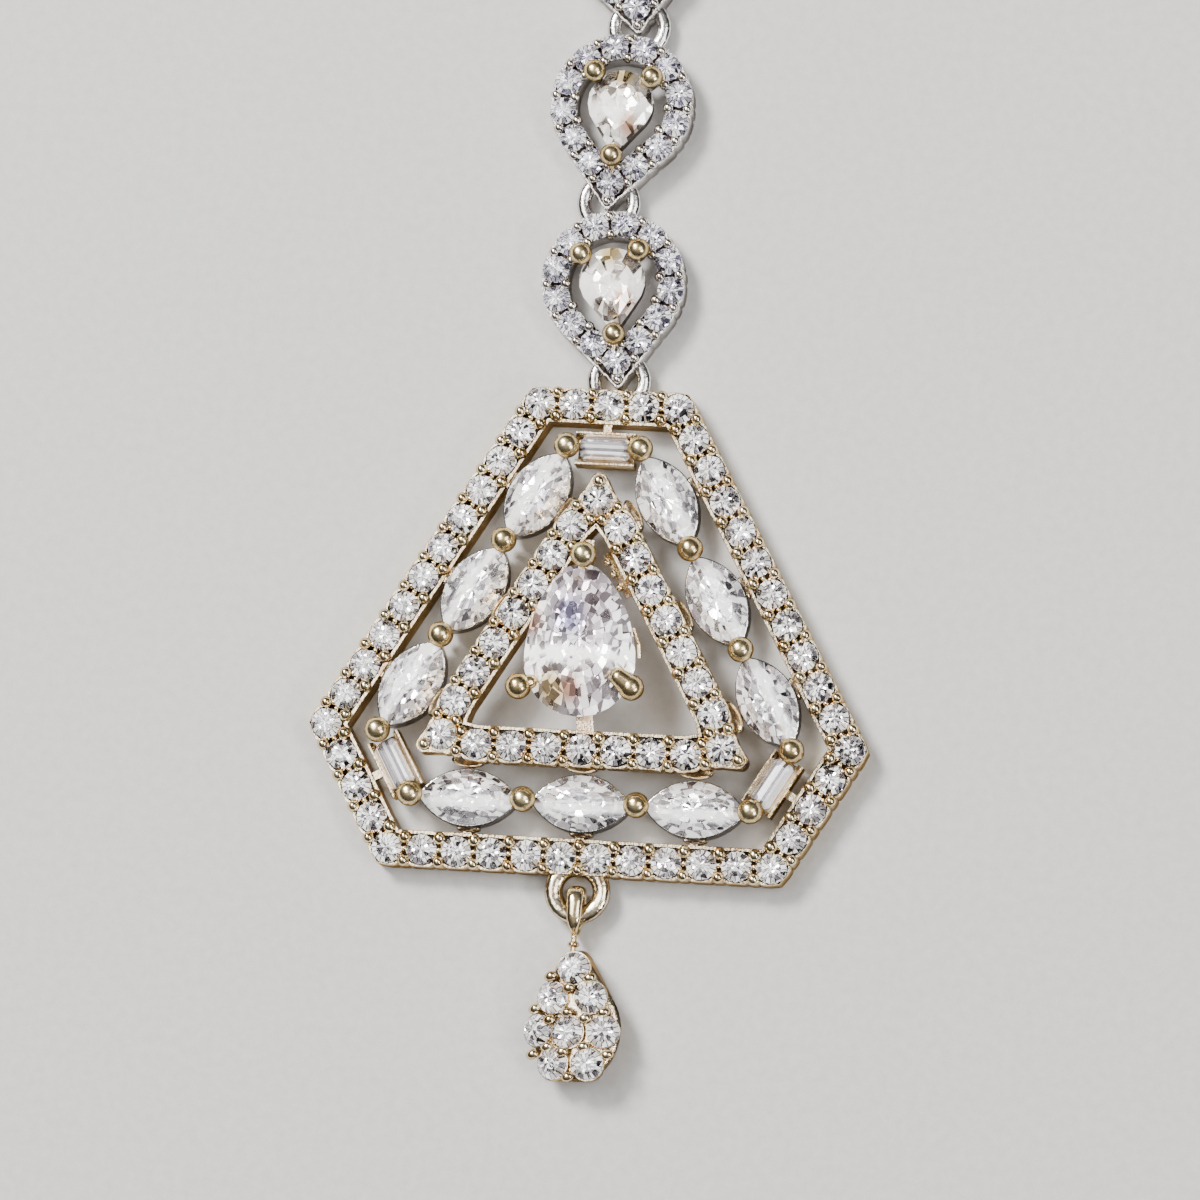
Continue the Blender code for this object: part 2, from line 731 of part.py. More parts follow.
def link_casting(name, next_ring):
    """A link at its own origin, the centre of its round head, with its point towards -Y."""
    outer = teardrop(LINK_RADIUS, LINK_TIP_DISTANCE, LINK_TIP_RADIUS, LINK_SIDES)
    inner = teardrop(LINK_RADIUS - LINK_BAND, LINK_OPENING_TIP, LINK_TIP_RADIUS, LINK_SIDES)
    obj = new_object(name, [band(outer, inner, 0.0, BAR_HEIGHT)])
    row = teardrop(LINK_RADIUS - LINK_BAND / 2, LINK_TIP_STONE, LINK_TURN_RADIUS, 60, 5)
    row = row[2:] + row[:2]
    combine(obj, [pave_stone(p, LINK_STONE, BAR_HEIGHT) for p in spaced(row, LINK_STONES)])
    link_setting(obj)
    ring_pocket(obj, (0, RING_IN_LINK - LINK_TIP_DISTANCE), 90, *tip_legs())
    inward = math.degrees(math.atan2(-next_ring[1], -next_ring[0]))
    ring_pocket(obj, next_ring, inward, *head_legs(LINK_BAND))
    return obj


def link_balls():
    """Centre and foot of each of a link's ball prongs: two beside its stone and one over its point."""
    height = LINK_GIRDLE + LINK_BALL_LIFT
    side_reach = LINK_PEAR_WIDTH / 2 + LINK_SIDE_BALL_REACH
    side_foot = LINK_RADIUS - LINK_FOOT_DEPTH
    tip_foot = LINK_OPENING_TIP + RAIL_WIDTH
    rows = (
        (90 - LINK_BALL_TURN, side_reach, side_foot),
        (90 + LINK_BALL_TURN, side_reach, side_foot),
        (-90, LINK_TIP_BALL_DISTANCE, tip_foot),
    )
    for angle, reach, foot in rows:
        yield (*turned((reach, 0), angle), height), (*turned((foot, 0), angle), BAR_HEIGHT - STEM_RADIUS)


def link_setting(obj):
    """Adds the gallery under a link's stone, its spokes, and its three ball prongs."""
    outline = teardrop(LINK_PEAR_WIDTH / 2, LINK_PEAR_TIP, PEAR_TIP_RADIUS / 2, LINK_PEAR_CUT)
    low, top = gallery_heights(LINK_GIRDLE, LINK_PEAR_PAVILION)
    combine(obj, [gallery(outline, LINK_GIRDLE, LINK_PEAR_PAVILION)])
    middle, half = (GALLERY_OUTER + GALLERY_INNER) / 2, SPOKE_WIDTH / 2
    head = (middle * LINK_PEAR_WIDTH / 2, LINK_RADIUS - LINK_BAND + BITE)
    point = (middle * LINK_PEAR_TIP, LINK_OPENING_TIP + BITE)
    spokes = []
    rows = ((90 - LINK_BALL_TURN, head), (90 + LINK_BALL_TURN, head), (-90, point))
    for angle, (start, end) in rows:
        spoke = block(rectangle(start, end, -half, half), low + BITE, top - BITE)
        spokes.append(placed(spoke, plan_place((0, 0), angle)))
    combine(obj, spokes)
    combine(obj, [stem(centre, foot, STEM_RADIUS) for centre, foot in link_balls()])
    combine(obj, [ball(centre, LINK_BALL) for centre, _ in link_balls()])


def chain_places():
    """Each link's name, place and lean, and each ring's place."""
    tip = (FIRST_LINK_SIDE, BAR_SHORT_DISTANCE + BAR_OUTER + LINK_GAP)
    links, rings = [], []
    for name, (lean, next_turn) in LINK_POSES.items():
        up = Vector(turned((0, 1), lean))
        rings.append(tuple(Vector(tip) + up * RING_IN_LINK))
        centre = Vector(tip) + up * LINK_TIP_DISTANCE
        links.append((name, tuple(centre), lean))
        head = Vector(turned((0, 1), lean + next_turn))
        tip = tuple(centre + head * (LINK_RADIUS + LINK_GAP))
    rings.append(tuple(centre + head * (LINK_RADIUS + LINK_GAP + RING_IN_LINK)))
    return links, rings


# Drop and hook


def drop():
    """The drop with its collar and bail, which stands on edge through the bottom loop."""
    x, loop_y = loop_centre()
    low, high = loop_heights()
    inside = loop_y - LOOP_HOLE / 2
    start = inside - LOOP_BAND - BAIL_CLEARANCE - BAIL_THICKNESS
    end = inside + BAIL_SLACK + BAIL_THICKNESS / 2
    bail_top = high + BAIL_CLEARANCE + BAIL_THICKNESS
    bail = upright_loop(start, end, 0.0, bail_top, BAIL_WIDTH, BAIL_THICKNESS, BAIL_THICKNESS)
    obj = new_object("drop", [bail])
    top = start - COLLAR_LENGTH + BITE
    centre_y = top - DROP_TOP_DISTANCE + BITE
    outline = pear_outline(2 * DROP_RADIUS, DROP_TOP_DISTANCE, DROP_TOP_RADIUS, 15)
    tilt = math.radians(DROP_ROLL)
    lift = DROP_RADIUS * math.sin(tilt)
    matrix = Matrix.Translation((x, centre_y, lift)) @ Matrix.Rotation(-tilt, 4, "Y")
    middle = matrix @ Vector((0, DROP_TOP_DISTANCE, DROP_THICKNESS / 2))
    neck = ((x, start + BAIL_THICKNESS / 2, middle.z), (x, top - BITE * 4, middle.z))
    combine(obj, [stem(*neck, COLLAR_DIAMETER / 2, BALL_SIDES)])
    combine(obj, [placed(block(outline, 0.0, DROP_THICKNESS), matrix)])
    stones = []
    for count, share in DROP_ROWS:
        for k in range(count):
            place = ((k - (count - 1) / 2) * DROP_PITCH_SHARE * DROP_RADIUS, share * DROP_RADIUS)
            stones.append(placed(pave_stone(place, DROP_STONE, DROP_THICKNESS), matrix))
    combine(obj, stones)
    return obj


def hair_hook():
    """One bent wire with a strap eye round the last ring, whose centre is the hook's own origin."""
    start = post_end(EYE_WIDTH) - BRIDGE_THICKNESS
    end = leg_start() + RING_CLEARANCE + BRIDGE_THICKNESS
    eye_top = POCKET_HEIGHT + BRIDGE_THICKNESS
    eye = upright_loop(start, end, 0.0, eye_top, EYE_WIDTH, BRIDGE_THICKNESS, STRAP_CORNER)
    obj = new_object("hair_hook", [eye])
    height = HOOK_WIRE / 2
    bend = (HOOK_GAP + HOOK_WIRE) / 2
    first = end - BRIDGE_THICKNESS / 2
    shoulder = first + HOOK_SHANK
    centres = [(0.0, first), (0.0, shoulder)]
    for a in np.linspace(0, math.pi, 11)[1:]:
        centres.append((bend - bend * math.cos(a), shoulder + bend * math.sin(a)))
    last_x, last_y = centres[-1]
    centres.append((last_x, last_y - HOOK_RETURN))
    for a in (30, 60):
        centres.append((
            last_x + HOOK_CURL * (1 - math.cos(math.radians(a))),
            last_y - HOOK_RETURN - HOOK_CURL * math.sin(math.radians(a)),
        ))  # fmt: skip
    combine(obj, [bent_wire(centres, height, HOOK_WIRE / 2)])
    return obj


def bent_wire(centres, height, radius):
    """Round wire along plan points, each ring of points square to the way there."""
    points = [Vector(p) for p in centres]
    loops = []
    for i, here in enumerate(points):
        ahead = points[min(i + 1, len(points) - 1)] - points[max(i - 1, 0)]
        side = Vector((ahead.y, -ahead.x)).normalized()
        loops.append([
            (here.x + side.x * u, here.y + side.y * u, height + v)
            for u, v in circle(radius, HOOK_SIDES, math.pi / HOOK_SIDES)
        ])  # fmt: skip
    return skin(loops)


# Loose stones


def marquise_stone(name):
    outline = marquise(MARQUISE_LENGTH, MARQUISE_WIDTH, MARQUISE_CUT)
    stone = loose_stone(outline, GIRDLE_HEIGHT, MARQUISE_CROWN, MARQUISE_PAVILION, MARQUISE_TABLE)
    return new_object(name, [stone])


def baguette_stone(name):
    """A step-cut baguette with cut corners."""
    x, y, cut = BAGUETTE_LENGTH / 2, BAGUETTE_WIDTH / 2, BAGUETTE_WIDTH * BAGUETTE_CORNER
    outline = [
        (x - cut, -y),
        (x, cut - y),
        (x, y - cut),
        (x - cut, y),
        (cut - x, y),
        (-x, y - cut),
        (-x, cut - y),
        (cut - x, -y),
    ]
    stone = loose_stone(outline, GIRDLE_HEIGHT, BAGUETTE_CROWN, BAGUETTE_PAVILION, BAGUETTE_TABLE)
    return new_object(name, [stone])


def centre_stone(name):
    outline = pear_outline(PEAR_WIDTH, PEAR_TIP_DISTANCE, PEAR_TIP_RADIUS, PEAR_CUT)
    return new_object(name, [loose_stone(outline, PEAR_GIRDLE, PEAR_CROWN, PEAR_PAVILION, PEAR_TABLE)])


def link_stone(name):
    outline = teardrop(LINK_PEAR_WIDTH / 2, LINK_PEAR_TIP, PEAR_TIP_RADIUS / 2, LINK_PEAR_CUT)
    stone = loose_stone(outline, LINK_GIRDLE, LINK_PEAR_CROWN, LINK_PEAR_PAVILION, PEAR_TABLE)
    return new_object(name, [stone])


# Assembly


def make_material(name):
    colour, roughness, metallic = FINISHES[name]
    material = bpy.data.materials.new(name)
    material.use_nodes = True
    shader = material.node_tree.nodes["Principled BSDF"]
    shader.inputs["Base Color"].default_value = colour
    shader.inputs["Roughness"].default_value = roughness
    shader.inputs["Metallic"].default_value = metallic
    material.diffuse_color = colour
    return material


def place_object(obj, place, degrees):
    """Puts a piece in the pendant's frame, still in millimetres."""
    obj.location = (*place, 0.0)
    obj.rotation_euler = (0.0, 0.0, math.radians(degrees))


def finish(obj, origin, finish_name):
    """Turns a piece's mesh and place into metres, gives it its finish and hangs it on the common origin."""
    obj.data.transform(Matrix.Scale(MM, 4))
    obj.location *= MM
    obj.data.materials.clear()
    obj.data.materials.append(make_material(finish_name))
    obj.data.shade_smooth()
    obj.data.set_sharp_from_angle(angle=math.radians(30))
    obj.parent = origin


def centre_footprint(origin, pieces):
    """Moves everything so that the origin lies under the middle of the footprint."""
    bpy.context.view_layer.update()
    corners = np.array([
        piece.matrix_world @ vertex.co for piece in pieces for vertex in piece.data.vertices
    ])  # fmt: skip
    low, high = corners.min(axis=0), corners.max(axis=0)
    origin.location = (-(low[0] + high[0]) / 2, -(low[1] + high[1]) / 2, -low[2])


def main():
    for obj in list(bpy.data.objects):
        bpy.data.objects.remove(obj)
    origin = bpy.data.objects.new("tikka_origin", None)
    bpy.context.scene.collection.objects.link(origin)

    links, rings = chain_places()
    metal = [pendant_casting(), drop()]
    stones, silver = [], []
    for number, (name, place, lean) in enumerate(links, 1):
        next_ring = turned(Vector(rings[number]) - Vector(place), -lean)
        casting = link_casting(name, next_ring)
        stone = link_stone(f"link_stone_{number}")
        place_object(casting, place, lean)
        place_object(stone, place, lean)
        silver.append(casting)
        stones.append(stone)
    for number, place in enumerate(rings, 1):
        shape = flat_ring((0, 0, RING_HEIGHT), RING_DIAMETER, RING_WIRE)
        ring = new_object(f"connector_ring_{number}", [shape])
        place_object(ring, place, 0.0)
        silver.append(ring)
    hook = hair_hook()
    place_object(hook, rings[-1], 0.0)
    silver.append(hook)

    for number, (place, turn) in enumerate(marquise_places(), 1):
        stone = marquise_stone(f"marquise_stone_{number}")
        place_object(stone, place, turn)
        stones.append(stone)
    for number, (place, turn) in enumerate(baguette_places(), 1):
        stone = baguette_stone(f"baguette_stone_{number}")
        place_object(stone, place, turn)
        stones.append(stone)
    pear = centre_stone("centre_pear_stone")
    place_object(pear, PEAR_PLACE, 0.0)
    stones.append(pear)

    finishes = (("rose_white_plate", metal), ("white_plate", silver), ("clear_stone", stones))
    for finish_name, pieces in finishes:
        for piece in pieces:
            finish(piece, origin, finish_name)
    centre_footprint(origin, metal + silver + stones)


main()
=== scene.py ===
# %% [markdown]
# # A maang tikka on a table
# A maang tikka is worn on the parting of the hair: a hook holds one end of a short chain, and a pendant
# rests on the forehead at the other. This one lies on its back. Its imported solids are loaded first,
# because every visible piece below takes its place from them.

import math
from functools import partialmethod

import bmesh
import bpy
import numpy as np
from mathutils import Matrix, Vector


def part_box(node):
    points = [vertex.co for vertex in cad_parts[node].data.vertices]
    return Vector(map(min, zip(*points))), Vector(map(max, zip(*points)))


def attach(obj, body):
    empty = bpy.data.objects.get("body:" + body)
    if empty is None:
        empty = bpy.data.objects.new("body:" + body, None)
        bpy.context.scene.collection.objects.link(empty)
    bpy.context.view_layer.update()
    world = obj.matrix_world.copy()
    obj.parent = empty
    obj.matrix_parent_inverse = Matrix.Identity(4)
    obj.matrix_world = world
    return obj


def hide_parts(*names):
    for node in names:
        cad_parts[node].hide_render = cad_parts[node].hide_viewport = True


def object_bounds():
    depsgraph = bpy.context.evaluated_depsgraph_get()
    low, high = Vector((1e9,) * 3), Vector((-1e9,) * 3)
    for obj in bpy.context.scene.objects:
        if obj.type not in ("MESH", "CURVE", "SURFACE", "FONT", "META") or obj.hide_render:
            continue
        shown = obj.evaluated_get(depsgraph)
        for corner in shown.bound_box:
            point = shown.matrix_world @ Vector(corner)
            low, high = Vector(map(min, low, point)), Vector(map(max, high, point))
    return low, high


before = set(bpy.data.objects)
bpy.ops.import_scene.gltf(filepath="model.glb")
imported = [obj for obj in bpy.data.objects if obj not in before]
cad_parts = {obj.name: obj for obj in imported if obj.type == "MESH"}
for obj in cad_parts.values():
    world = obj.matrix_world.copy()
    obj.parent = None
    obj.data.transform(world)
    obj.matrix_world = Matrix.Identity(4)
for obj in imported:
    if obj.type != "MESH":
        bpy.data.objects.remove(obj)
cad_low, cad_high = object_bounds()
cad_size = [round(1000 * (high - low), 2) for low, high in zip(cad_low, cad_high)]
print("solids:", len(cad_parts), "box in mm:", cad_size)

# %% [markdown]
# ## Measures
# All lengths below are millimetres, with the middle of the pendant as the origin, the hair end towards +Y
# and the table at z = 0. Only the function that makes an object turns them into metres. The outer edge of
# the top bar is known in both frames, and gives the shift between them.

# %% Where the pendant's middle lies
MM = 0.001
TOP_EDGE = 14.064
PENDANT = np.array([0.0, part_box("pendant_casting")[1].y / MM - TOP_EDGE, 0.0])

BAR_TOP = 1.40
BAR_OUT, BAR_IN = 0.85, 0.95
TRIANGLE_LOW, TRIANGLE_TOP = 1.90, 3.20
PAVE = 1.55
print("pendant's middle in mm:", PENDANT.round(2))

# %% [markdown]
# ## Shapes from numpy
# A shape is a pair: an array of points, and a list of arrays of faces. Most of them are rows of points
# that are joined with quads, which covers bars, wires, balls and walls alike. Repeated parts, such as
# beads, are one small shape that is copied to many places at once. A point may have a fourth number, its
# painted shade: the metal's colour is painted dark there, in corners behind beads and stones where shade
# falls, and on the lower side of balls as a painted dark reflection.

# %% Rows, tubes and copies


def angles(count):
    """Equal steps round a circle."""
    return np.linspace(0, 2 * math.pi, count, endpoint=False)


def columns(*values):
    """Points from their coordinates, or faces from their corners. A single number serves all of them."""
    return np.stack(np.broadcast_arrays(*values), axis=-1)


def polar(radius, a):
    """Plan points at a distance from the origin, one at each angle."""
    return radius * columns(np.cos(a), np.sin(a))


def unit(vectors):
    return vectors / np.linalg.norm(vectors, axis=1)[:, None]


def rows_to_shape(rows, loop=False, tarnish=None):
    """Joins rows of points with quads. Each row is closed round itself; a loop also joins the last row to
    the first, and otherwise a flat cap closes each end. Painted shade may be given for each place in a row."""
    rows = np.asarray(rows, float)
    if tarnish is not None:
        rows = np.concatenate([rows, np.broadcast_to(tarnish, rows.shape[:2])[..., None]], axis=2)
    n, m, _ = rows.shape
    here = np.arange(n * m).reshape(n, m)
    there = np.roll(here, -1, axis=0)
    first, last = here[:1, ::-1], here[-1:]
    if not loop:
        here, there = here[:-1], there[:-1]
    quads = columns(here, np.roll(here, -1, axis=1), np.roll(there, -1, axis=1), there)
    return rows.reshape(n * m, -1), [quads.reshape(-1, 4)] + ([] if loop else [first, last])


def tube(path, radius, across, sides=12, loop=False, flatten=1.0):
    """Carries a circle along a path: p + r (cos a) s + r f (sin a) b, where s is square to the path and to
    across, b is square to both, and f flattens the circle."""
    path = np.asarray(path, float)
    ahead = np.roll(path, -1, axis=0) - np.roll(path, 1, axis=0) if loop else np.gradient(path, axis=0)
    ahead = unit(ahead)
    side = unit(np.cross(ahead, across))
    up = np.cross(side, ahead)
    a = angles(sides)[None, :, None]
    r = np.broadcast_to(radius, len(path))[:, None, None]
    ring = np.cos(a) * side[:, None] + flatten * np.sin(a) * up[:, None]
    return rows_to_shape(path[:, None] + r * ring, loop)


def ball(radius, sides=16, levels=9, stretch=1.0, shine=0.68):
    """A sphere from rows of equal latitude: (r cos b cos a, r cos b sin a, r k sin b). Its pole rows shrink
    to points, which are welded later. Below the height r shine its colour is painted darker and darker, as
    painted shade and a painted dark reflection of the table."""
    b = np.linspace(-math.pi / 2, math.pi / 2, levels)[:, None]
    a = angles(sides)[None, :]
    rows = radius * columns(np.cos(b) * np.cos(a), np.cos(b) * np.sin(a), stretch * np.sin(b))
    # Painted shade and painted dark reflection: the lower on the ball, the darker its colour.
    return rows_to_shape(rows, tarnish=np.clip(1.6 * (shine - np.sin(b)), 0, 0.85))


def stamped(shape, places, degrees=0.0):
    """Copies a shape to each place after turning it in plan: p' = R(angle) p + place. A place without a
    height is on the table."""
    points, faces = shape
    places = np.atleast_2d(np.asarray(places, float))
    places = np.pad(places, ((0, 0), (0, 3 - places.shape[1])))
    angle = np.radians(np.broadcast_to(degrees, len(places)))[:, None]
    x, y = points[:, 0], points[:, 1]
    moved = np.repeat(points[None], len(places), axis=0)
    moved[..., 0] = np.cos(angle) * x - np.sin(angle) * y
    moved[..., 1] = np.sin(angle) * x + np.cos(angle) * y
    moved[..., :3] += places[:, None]
    step = np.arange(len(places))[:, None, None] * len(points)
    return moved.reshape(-1, moved.shape[-1]), [(f[None] + step).reshape(-1, f.shape[1]) for f in faces]


def joined(shapes):
    """One shape that holds several side by side, all with a column of painted shade."""
    starts = np.cumsum([0] + [len(points) for points, _ in shapes[:-1]])
    faces = [f + start for (_, groups), start in zip(shapes, starts) for f in groups]
    points = [np.pad(points, ((0, 0), (0, 4 - points.shape[1]))) for points, _ in shapes]
    return np.concatenate(points), faces


print("a ball has", sum(len(f) for f in ball(1.0)[1]), "faces")

# %% [markdown]
# ## From a shape to a named piece
# Seams and poles are welded, faces are turned outwards, and edges sharper than an angle stay sharp. The
# piece rides on the jewel's one body, and names the solids that it stands for, which then aren't shown.

# %% Making a piece
WELD = 2e-7


def new_object(name, data):
    """Puts a mesh, a lamp or the camera into the scene."""
    obj = bpy.data.objects.new(name, data)
    bpy.context.scene.collection.objects.link(obj)
    return obj


def piece(name, shapes, material, replaces=(), smooth=35.0, cut=None):
    """Makes an object at the origin, in metres, from shapes in millimetres. Smooth is the angle above which
    edges stay sharp, or 0 for flat faces."""
    points, faces = joined(shapes)
    mesh = bpy.data.meshes.new(name)
    corners = ((points[:, :3] + PENDANT) * MM).tolist()
    mesh.from_pydata(corners, [], [face for group in faces for face in group.tolist()])
    if cut is None:
        mesh.attributes.new("tarnish", "FLOAT", "POINT").data.foreach_set("value", points[:, 3])
    else:
        mesh.attributes.new("cut", "FLOAT_VECTOR", "POINT").data.foreach_set("vector", cut.ravel())
    work = bmesh.new()
    work.from_mesh(mesh)
    bmesh.ops.remove_doubles(work, verts=work.verts, dist=WELD)
    bmesh.ops.dissolve_degenerate(work, edges=work.edges, dist=WELD)
    bmesh.ops.recalc_face_normals(work, faces=work.faces)
    work.to_mesh(mesh)
    work.free()
    if smooth:
        mesh.shade_smooth()
        mesh.set_sharp_from_angle(angle=math.radians(smooth))
    obj = new_object(name, mesh)
    mesh.materials.append(material)
    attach(obj, "root")
    if replaces:
        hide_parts(*replaces)
    mesh.calc_loop_triangles()
    print(f"{name}: {len(mesh.loop_triangles)} triangles")
    return obj


# %% [markdown]
# ## Writing materials as sums
# A finish is easier to read as arithmetic than as a picture of nodes. One small class wraps a socket, so
# that an expression on it adds Math nodes, and one method makes any other node.

# %% Sockets with operators


class Wire:
    """A socket that can be added, multiplied and compared like a number."""

    def __init__(self, recipe, socket):
        self.recipe, self.socket = recipe, socket

    def maths(self, operation, *others):
        values = dict(enumerate((self, *others)))
        return self.recipe.node("Math", {"operation": operation}, values)[0]

    def __rsub__(self, other):
        return (self * -1.0) + other

    __add__ = __radd__ = partialmethod(maths, "ADD")
    __mul__ = __rmul__ = partialmethod(maths, "MULTIPLY")
    __sub__ = partialmethod(maths, "SUBTRACT")
    __pow__ = partialmethod(maths, "POWER")
    __mod__ = partialmethod(maths, "FLOORED_MODULO")
    floor = partialmethod(maths, "FLOOR")
    size = partialmethod(maths, "ABSOLUTE")
    at_least = partialmethod(maths, "MAXIMUM")


class Recipe:
    """A material, its Principled shader, and one method that adds nodes."""

    def __init__(self, name, **constants):
        self.material = bpy.data.materials.new(name)
        self.material.use_nodes = True
        self.tree = self.material.node_tree
        self.shader = self.tree.nodes["Principled BSDF"]
        for socket, value in constants.items():
            self.shader.inputs[socket.replace("_", " ")].default_value = value

    def node(self, kind, settings=None, values=None):
        """Adds a node, sets it, then fills its sockets; returns a Wire for each output."""
        node = self.tree.nodes.new("ShaderNode" + kind)
        for name, value in (settings or {}).items():
            if name == "stops":
                elements = node.color_ramp.elements
                while len(elements) < len(value):
                    elements.new(0.5)
                for element, (place, colour) in zip(elements, value):
                    element.position, element.color = place, (*colour, 1.0)
            else:
                setattr(node, name, value)
        for key, value in (values or {}).items():
            self.fill(node.inputs[key], value)
        return [Wire(self, socket) for socket in node.outputs]

    def fill(self, socket, value):
        if isinstance(value, Wire):
            self.tree.links.new(value.socket, socket)
        elif socket.type == "RGBA":
            socket.default_value = (*value, 1.0)
        else:
            socket.default_value = value

    def drive(self, **sockets):
        """Links what changes over the surface to the shader."""
        for name, value in sockets.items():
            self.fill(self.shader.inputs[name.replace("_", " ")], value)
        return self.material

    def vector(self, x, y, z=0.0):
        return self.node("CombineXYZ", None, {0: x, 1: y, 2: z})[0]

    def vector_maths(self, operation, *vectors):
        return self.node("VectorMath", {"operation": operation}, dict(enumerate(vectors)))[0]

    def grain(self, size, detail=3.0):
        """Noise on Object coordinates, with grains of a given size in millimetres."""
        place = self.node("TexCoord")[3]
        values = {"Vector": place, "Scale": 1.0 / (size * MM), "Detail": detail}
        return self.node("TexNoise", None, values)[0]

    def mixed(self, share, first, second, blend="MIX"):
        """Mixes two colours; share is how much of the second there is."""
        settings = {"data_type": "RGBA", "blend_type": blend, "clamp_factor": True}
        return self.node("Mix", settings, {0: share, 6: first, 7: second})[2]

    def ramp(self, value, stops):
        return self.node("ValToRGB", {"stops": stops}, {0: value})[0]

    def bump(self, height, distance, strength=1.0):
        values = {"Height": height, "Distance": distance * MM, "Strength": strength}
        return self.node("Bump", None, values)[0]


# %% [markdown]
# ## Metal finishes
# The pendant is plated in a pale gold that is nearly white, its ball prongs are brassier and a little
# duller, and the chain is whiter. Plate over cast metal is never a perfect mirror: a fine skin of bumps
# and slow changes of gloss break up each reflection, and the colour runs at random between a deeper and a
# paler tone. Where a piece carries painted shade, its colour is painted dark.

# %% Plated metal
CLOUD_SIZE = 1.4
# The dark brown colour that painted shade mixes into the metal.
PAINTED_SHADE_COLOUR = (0.07, 0.038, 0.018)


def plated(name, bright, deep, gloss, skin, skin_size=0.12):
    """Metal whose colour runs between two tones, whose gloss changes over the surface, and which is painted
    dark and made duller where it carries painted shade."""
    recipe = Recipe(name, Metallic=1.0, Specular_Tint=(*[0.5 * channel for channel in deep], 1.0))
    cloud, fine = recipe.grain(CLOUD_SIZE), recipe.grain(skin_size, 4.0)
    colour = recipe.ramp(cloud * 0.6 + fine * 0.4, ((0.38, deep), (0.56, bright)))
    # Painted shade: the colour is mixed towards dark brown in corners and on the lower side of balls.
    tarnish = recipe.node("Attribute", {"attribute_name": "tarnish"})[2]
    return recipe.drive(
        Base_Color=recipe.mixed(tarnish * 0.95, colour, PAINTED_SHADE_COLOUR),
        Roughness=gloss + 0.2 * (fine - 0.45) + 0.1 * (cloud - 0.5) + 0.12 * tarnish,
        Normal=recipe.bump(fine, skin, 0.8),
    )


PALE_GOLD = plated("pale_gold_plate", (1.0, 0.86, 0.61), (0.66, 0.47, 0.27), 0.14, 0.02)
BRASSY_GOLD = plated("ball_prong_gold", (1.0, 0.84, 0.50), (0.82, 0.59, 0.29), 0.22, 0.006)
BEAD_GOLD = plated("bead_gold", (1.0, 0.85, 0.56), (0.76, 0.54, 0.28), 0.15, 0.008)
WHITE_PLATE = plated("white_plate", (0.95, 0.93, 0.91), (0.55, 0.51, 0.49), 0.13, 0.02)
WHITE_BEAD = plated("white_bead", (0.97, 0.92, 0.85), (0.66, 0.58, 0.50), 0.15, 0.008)
CAST_GOLD = plated("loop_gold", (1.0, 0.88, 0.66), (0.52, 0.34, 0.17), 0.12, 0.05, 0.34)
print("metal finishes:", len(bpy.data.materials))

# %% [markdown]
# ## Cut stones
# A colourless stone looks busy because each facet shows another part of the room, some straight off the
# surface and most from the facets behind it. Clear glass would need many light paths, so what the facets
# behind show is painted by the shader instead: the stone is divided into sectors and rings, and into
# irregular shards. Where the two patterns overlap, each small cell tilts the surface its own way and has
# its own grey, a painted reflection. Dark cells reflect like mirrors, and pale ones glow, with painted
# light that stands in for the light that came back through the stone. A bright band is a painted
# highlight, and tinted patches are painted reflections and painted shade. Thin dark lines divide the
# sectors. A clear coat lies over all of it, on the real facets.

# %% The stones' finish


